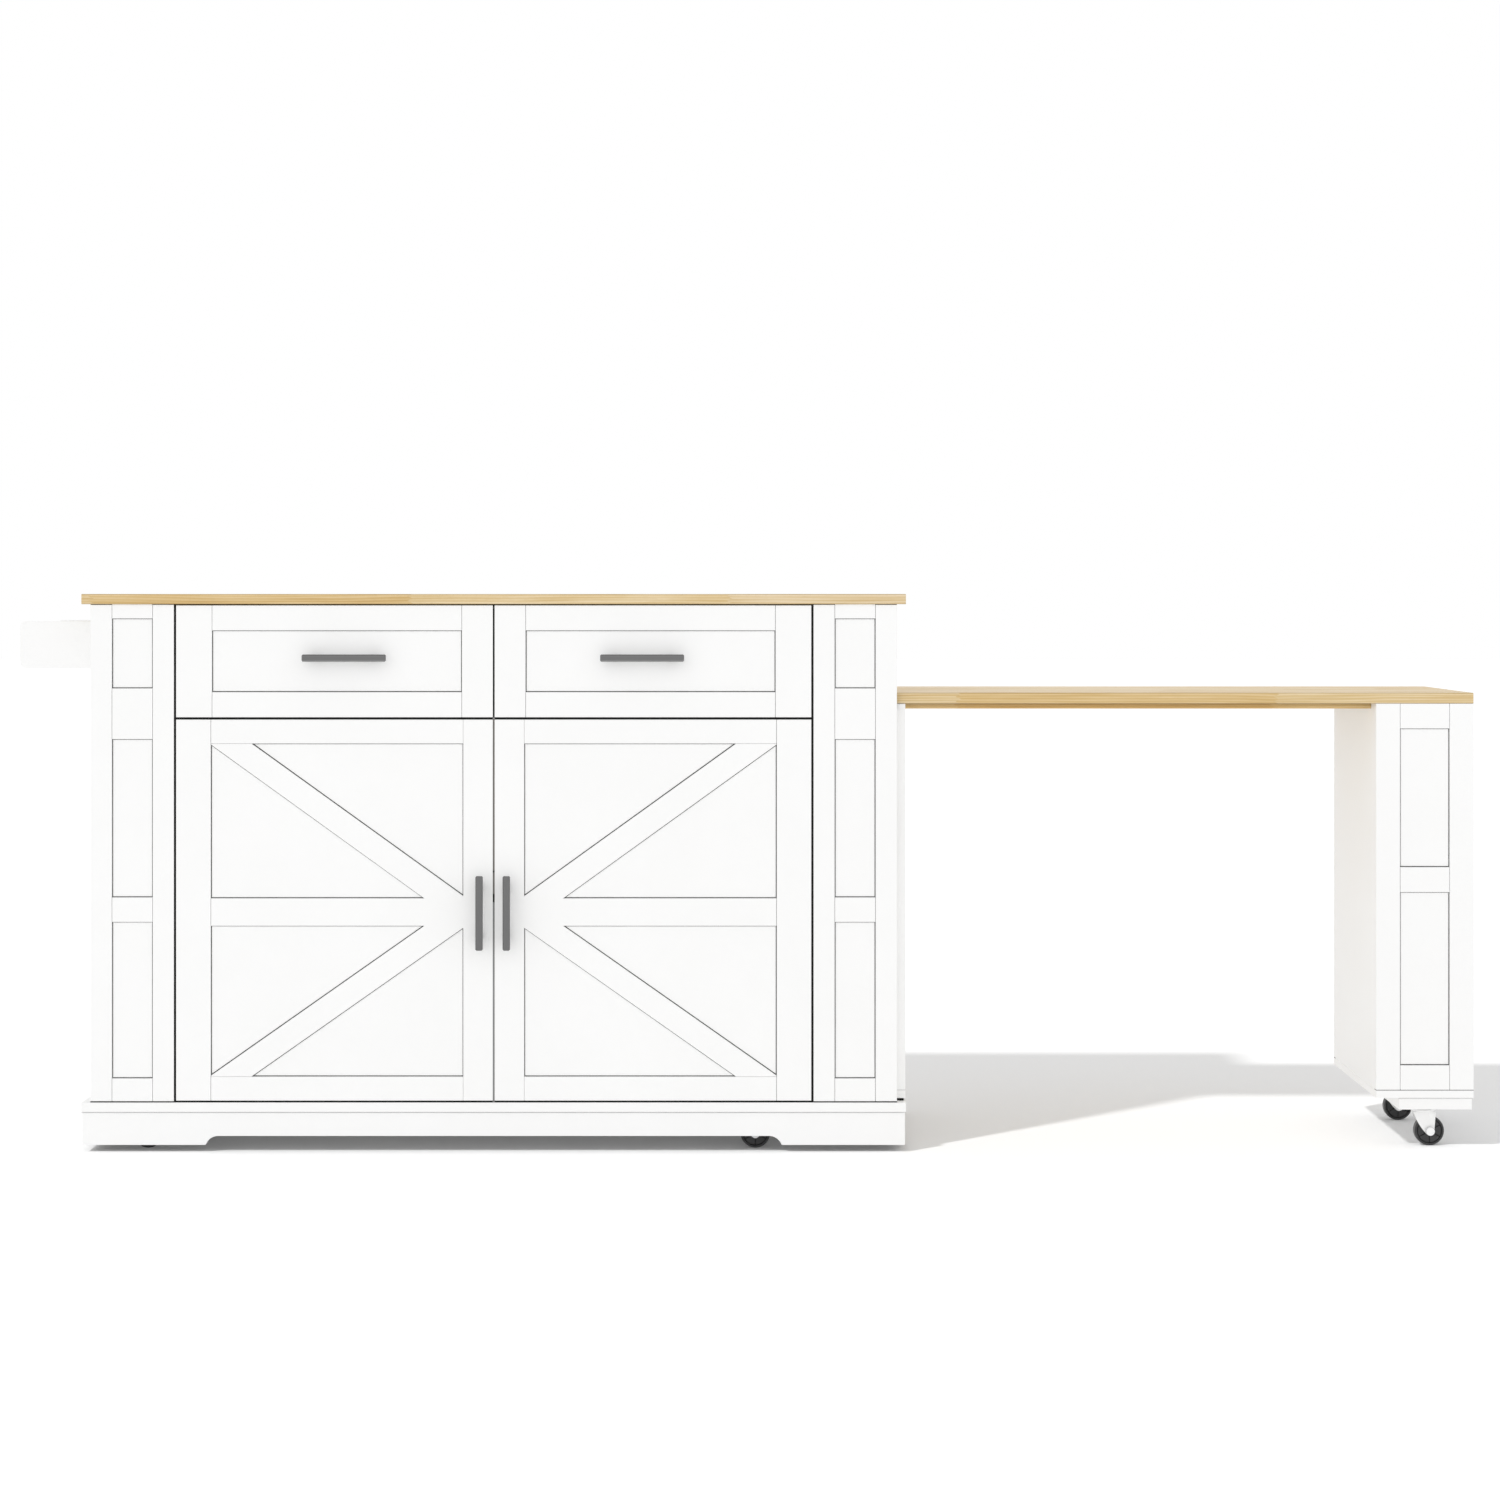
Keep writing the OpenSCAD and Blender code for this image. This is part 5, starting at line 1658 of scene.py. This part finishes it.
@dataclass(frozen=True)
class Caster:
    """A swivel caster: fork, hub caps and a grooved wheel."""

    place: str  # the name that its nodes and bodies share
    sectors: int = 6  # number of sectors between the wheel's radial grooves
    groove: float = 0.0010  # half the width of a groove
    groove_t: float = 0.0011  # depth of a groove
    ring_r: float = 0.0204  # radius of the ring groove
    bore_r: float = 0.0031  # radius of the wheel's bore
    cap_r: float = 0.0069  # radius of the hub caps
    cap_t: float = 0.0018  # thickness of the hub caps
    cap_out: float = 0.0002  # how far they stand beyond the fork's sides
    washer_r: float = 0.0075  # radius of the washers under them
    washer_t: float = 0.0006  # thickness of the washers
    washer_ease: float = 0.0002  # how far their edges are rounded
    fork_edge: float = 0.0006  # and those of the fork
    # The caps' outline: shares of their radius, and distances from their outer face.
    cap: ClassVar[tuple] = ((1.0, 0.0006), (0.96, 0.0002), (0.88, 0.0), (0.2, 0.0))

    def build(self) -> None:
        """Makes the fork, its hub caps and the wheel."""
        fork = f"fork_{self.place}"
        dress(fork, f"{fork}_shell", f"{self.place}_fork", FORK, self.fork_edge, 3)
        low, high = corners(f"wheel_{self.place}")
        self.caps(corners(fork), (low + high) / 2)
        self.wheel(low, high)

    def caps(self, fork: tuple[np.ndarray, np.ndarray], middle: np.ndarray) -> None:
        """Makes the round caps over both ends of the axle, each on a steel washer whose grey ring
        also stands in for the shade round the cap.

        Args:
            fork: the fork's lowest and highest corner.
            middle: the wheel's middle.
        """
        caps, washers = Shells(), Shells()
        r, wide, centre = self.cap_r, self.washer_r, (middle[0], 0.0, middle[2])
        for face, way in ((fork[0][1], 1), (fork[1][1], -1)):
            outer = face - way * self.cap_out
            seat = outer + way * self.cap_t
            caps.turned([(r, seat), *((r * share, outer + way * rise)
                                      for share, rise in self.cap)], centre, 40)
            top, ease = seat - way * self.washer_t, self.washer_ease
            washers.turned([(r / 2, seat), (wide, seat), (wide, top + way * ease),
                            (wide - ease, top), (r / 2, top)], centre, 40)
        fit(caps.piece(f"hub_caps_{self.place}"), f"{self.place}_fork", FORK)
        fit(washers.piece(f"hub_washers_{self.place}"), f"{self.place}_fork", ZINC)

    def wheel(self, low: np.ndarray, high: np.ndarray) -> None:
        """Makes the wheel as one closed surface.

        Rows go from the bore across one face, over the tread, and back through the bore.
        In each sector the first and last columns keep a fixed distance d from the radial
        groove's line, at angle asin(d / r), and the others share out the rest. A face's
        height falls by a V-shaped groove: 1 - |d| / half width, times the groove's depth.

        Args:
            low: the CAD wheel's lowest corner.
            high: its highest corner.
        """
        middle, half, radius = (low + high) / 2, (high[1] - low[1]) / 2, (high[2] - low[2]) / 2
        g, t, ring = self.groove, self.groove_t, self.ring_r
        # Each row: radius, distance below the side's plane, grooved, in the ring groove.
        rows = np.array([
            (self.bore_r, 0.0, 0, 0), (0.0074, 0.0, 0, 0), (0.0076, 0.0006, 0, 0),
            (0.0079, 0.0008, 1, 0), (0.0105, 0.0008, 1, 0), (0.014, 0.0008, 1, 0),
            (ring - 0.0012, 0.0008, 1, 0), (ring - g * 0.9, 0.0008, 1, 0),
            (ring, 0.0008 + t, 0, 1), (ring + g * 0.9, 0.0005, 0, 0),
            (radius - 0.0026, 0.0003, 0, 0), (radius - 0.0013, 0.0003, 0, 0),
            (radius - 0.0006, 0.0011, 0, 0), (radius - 0.0001, 0.0026, 0, 0),
            (radius, 0.0048, 0, 0)])
        radii, grooved, ringed = (mirrored(rows[:, k])[:, None] for k in (0, 2, 3))
        sides = mirrored(rows[:, 1] - half, -1.0)[:, None]
        outward = mirrored(np.ones(len(rows)), -1.0)[:, None]
        offsets = np.array([0.0, g * 0.55, g, g * 2.2])
        shares = np.linspace(0, 1, 9)[1:-1]
        step = 2 * math.pi / self.sectors
        near = np.arcsin(np.minimum(offsets[None] / radii, 0.9))
        span = step - 2 * near[:, -1:]
        angles = np.concatenate([near, near[:, -1:] + span * shares,
                                 step - near[:, ::-1][:, :-1]], axis=1)
        fall = np.clip(1 - offsets / g, 0, 1)
        fall = np.concatenate([fall, np.zeros(len(shares)), fall[::-1][:-1]])
        starts = math.pi / 2 + step * np.arange(self.sectors)
        turn = (starts[None, :, None] + angles[:, None, :]).reshape(len(radii), -1)
        # The grooves are marked by how deep they are, and the ring groove fully, and the wheel is
        # painted near black there: painted shade in the grooves.
        dark = np.tile(fall, self.sectors)[None] * grooved
        along = sides + outward * dark * t
        shells = Shells().rings(in_space(radii[..., None] * around(turn), along, Axis.Y) + middle,
                                closed=True, marks=np.maximum(dark, ringed))
        fit(shells.piece(f"wheel_{self.place}_tyre"), f"{self.place}_wheel", TYRE,
            [f"wheel_{self.place}"])


@dataclass(frozen=True)
class CasterPlates:
    """The mounting plates of one body's casters, with their screws."""

    node: str  # the CAD node of the plates
    body: str  # the body that they are screwed to
    places: tuple  # the casters that stand under them
    trail: float = 0.009  # from a swivel axis to its wheel's axle
    hole: float = 0.019  # from a plate's middle to its screws, along X and Y
    plate_t: float = 0.0025  # thickness of the plates
    edge: float = 0.0005  # how far their edges are rounded

    def build(self) -> None:
        """Makes the plates and four screws for each."""
        dress(self.node, f"{self.node}_painted", self.body, FORK, self.edge)
        under = corners(self.node)[1][2] - self.plate_t
        seats = []
        for place in self.places:
            low, high = corners(f"wheel_{place}")
            x, y = (low[0] + high[0]) / 2 - self.trail, (low[1] + high[1]) / 2
            seats += [(x + dx, y + dy, under) for dx in (-self.hole, self.hole)
                      for dy in (-self.hole, self.hole)]
        LARGE_SCREW.rows(f"{self.node}_screws", self.body, seats, Axis.Z, -1)


@dataclass(frozen=True)
class Sun:
    """A distant lamp that lights either the floor alone or all but the floor."""

    name: str
    way: Triple  # the direction in which its light travels
    strength: float
    spread: float  # its apparent angle in degrees, which softens the shadows
    floor_only: bool

    def hang(self, floor: Piece) -> None:
        """Makes the lamp and the list of what it lights or leaves out.

        Args:
            floor: the floor.
        """
        data = bpy.data.lights.new(self.name, "SUN")
        data.energy = self.strength
        data.angle = math.radians(self.spread)
        lamp = stand(self.name, data)
        lamp.rotation_euler = Vector(self.way).to_track_quat("-Z", "Y").to_euler()
        lit = bpy.data.collections.new(f"{self.name}_lit")
        lit.objects.link(floor)
        lamp.light_linking.receiver_collection = lit
        state = "INCLUDE" if self.floor_only else "EXCLUDE"
        lit.collection_objects[0].light_linking.link_state = state


@dataclass(frozen=True)
class Studio:
    """Camera, plain light, white surroundings and the floor."""

    camera: Triple = (0.010, -6.0225, 0.929)  # it looks level along +Y
    lens: float = 83.21  # focal length in millimetres
    sensor: float = 36.0  # width of the sensor in millimetres
    shift: float = -0.102  # vertical shift of the frame
    sky: float = 0.92  # brightness of the surroundings as a light
    floor_seen: float = 0.71  # the floor's colour where it is seen
    floor_lift: float = 0.095  # added to it there, so that no ground is black
    floor_lights: float = 0.715  # the floor's colour as it lights the object
    floor_size: float = 45.0  # half the floor's width
    far: float = 200.0  # how far the camera sees
    # One lamp casts the object's shadow on the floor. The other lights the object itself,
    # from so wide an angle that no shadow of it has an edge.
    lamps: ClassVar[tuple] = (Sun("floor_sun", (0.78, 0.85, -1.0), 2.3, 3.0, True),
                              Sun("soft_key", (0.55, 1.0, 0.0), 0.38, 80.0, False))

    def build(self) -> None:
        """Sets up the whole studio."""
        bpy.context.scene.view_settings.view_transform = "Standard"
        self.place_camera()
        self.surround()
        floor = self.lay_floor()
        for lamp in self.lamps:
            lamp.hang(floor)

    def place_camera(self) -> None:
        """Stands the camera in front of the object."""
        data = bpy.data.cameras.new("camera")
        data.lens = self.lens
        data.sensor_width = self.sensor
        data.shift_y = self.shift
        data.clip_end = self.far
        camera = stand("camera", data)
        camera.location = self.camera
        camera.rotation_euler = (math.pi / 2, 0.0, 0.0)
        bpy.context.scene.camera = camera

    def seen(self, sheet: Sheet) -> Wire:
        """1 for rays that show the surroundings: from the camera, a gloss or a glass.

        Args:
            sheet: the nodes that ask.

        Returns:
            The number.
        """
        path = sheet.node("ShaderNodeLightPath")
        both = path["Is Camera Ray"].math("MAXIMUM", path["Is Glossy Ray"])
        return both.math("MAXIMUM", path["Is Transmission Ray"])

    def surround(self) -> None:
        """Makes the surroundings white where they are seen and softer as a light."""
        world = bpy.data.worlds.new("surroundings")
        bpy.context.scene.world = world
        world.use_nodes = True
        sheet = Sheet(world.node_tree)
        colour = sheet.mix(self.seen(sheet), (self.sky,) * 3, (1.0, 1.0, 1.0))
        sheet.feed(world.node_tree.nodes["Background"], {"Color": colour})

    def lay_floor(self) -> Piece:
        """Lays a matt floor that is paler where it is seen than where it lights.

        Returns:
            The floor.
        """
        mesh = bpy.data.meshes.new("floor")
        s = self.floor_size
        mesh.from_pydata([(*point, 0.0) for point in rectangle(-s, -s, s, s)], [],
                         [(0, 1, 2, 3)])
        floor = stand("floor", mesh)
        material = bpy.data.materials.new("matt_floor")
        material.use_nodes = True
        nodes = material.node_tree.nodes
        nodes.remove(nodes["Principled BSDF"])
        sheet = Sheet(material.node_tree)
        seen = self.seen(sheet)
        colour = sheet.mix(seen, (self.floor_lights,) * 3, (self.floor_seen,) * 3)
        matt = sheet.node("ShaderNodeBsdfDiffuse", {"Color": colour})[0]
        glow = sheet.node("ShaderNodeEmission", {"Strength": seen * self.floor_lift})[0]
        both = sheet.node("ShaderNodeAddShader", {0: matt, 1: glow})[0]
        sheet.feed(nodes["Material Output"], {"Surface": both})
        mesh.materials.append(material)
        return floor


def main() -> None:
    """Builds the studio and every sub-assembly in order."""
    logging.basicConfig(level=logging.INFO, format="%(name)s: %(message)s")
    Studio().build()
    WoodSlab("worktop", "worktop_slab", "cabinet").build()
    Cabinet().build()
    for side in Side:
        Post(side=side).build()
        Door(side=side).build()
        Drawer(side=side).build()
    SideRack().build()
    PullOutTable().build()
    main_places = ("front_left", "front_right", "back_left", "back_right")
    table_places = ("table_front", "table_back")
    CasterPlates("caster_plates", "cabinet", main_places).build()
    CasterPlates("table_caster_plates", "table", table_places).build()
    for place in main_places + table_places:
        Caster(place).build()


if __name__ == "__main__":
    main()
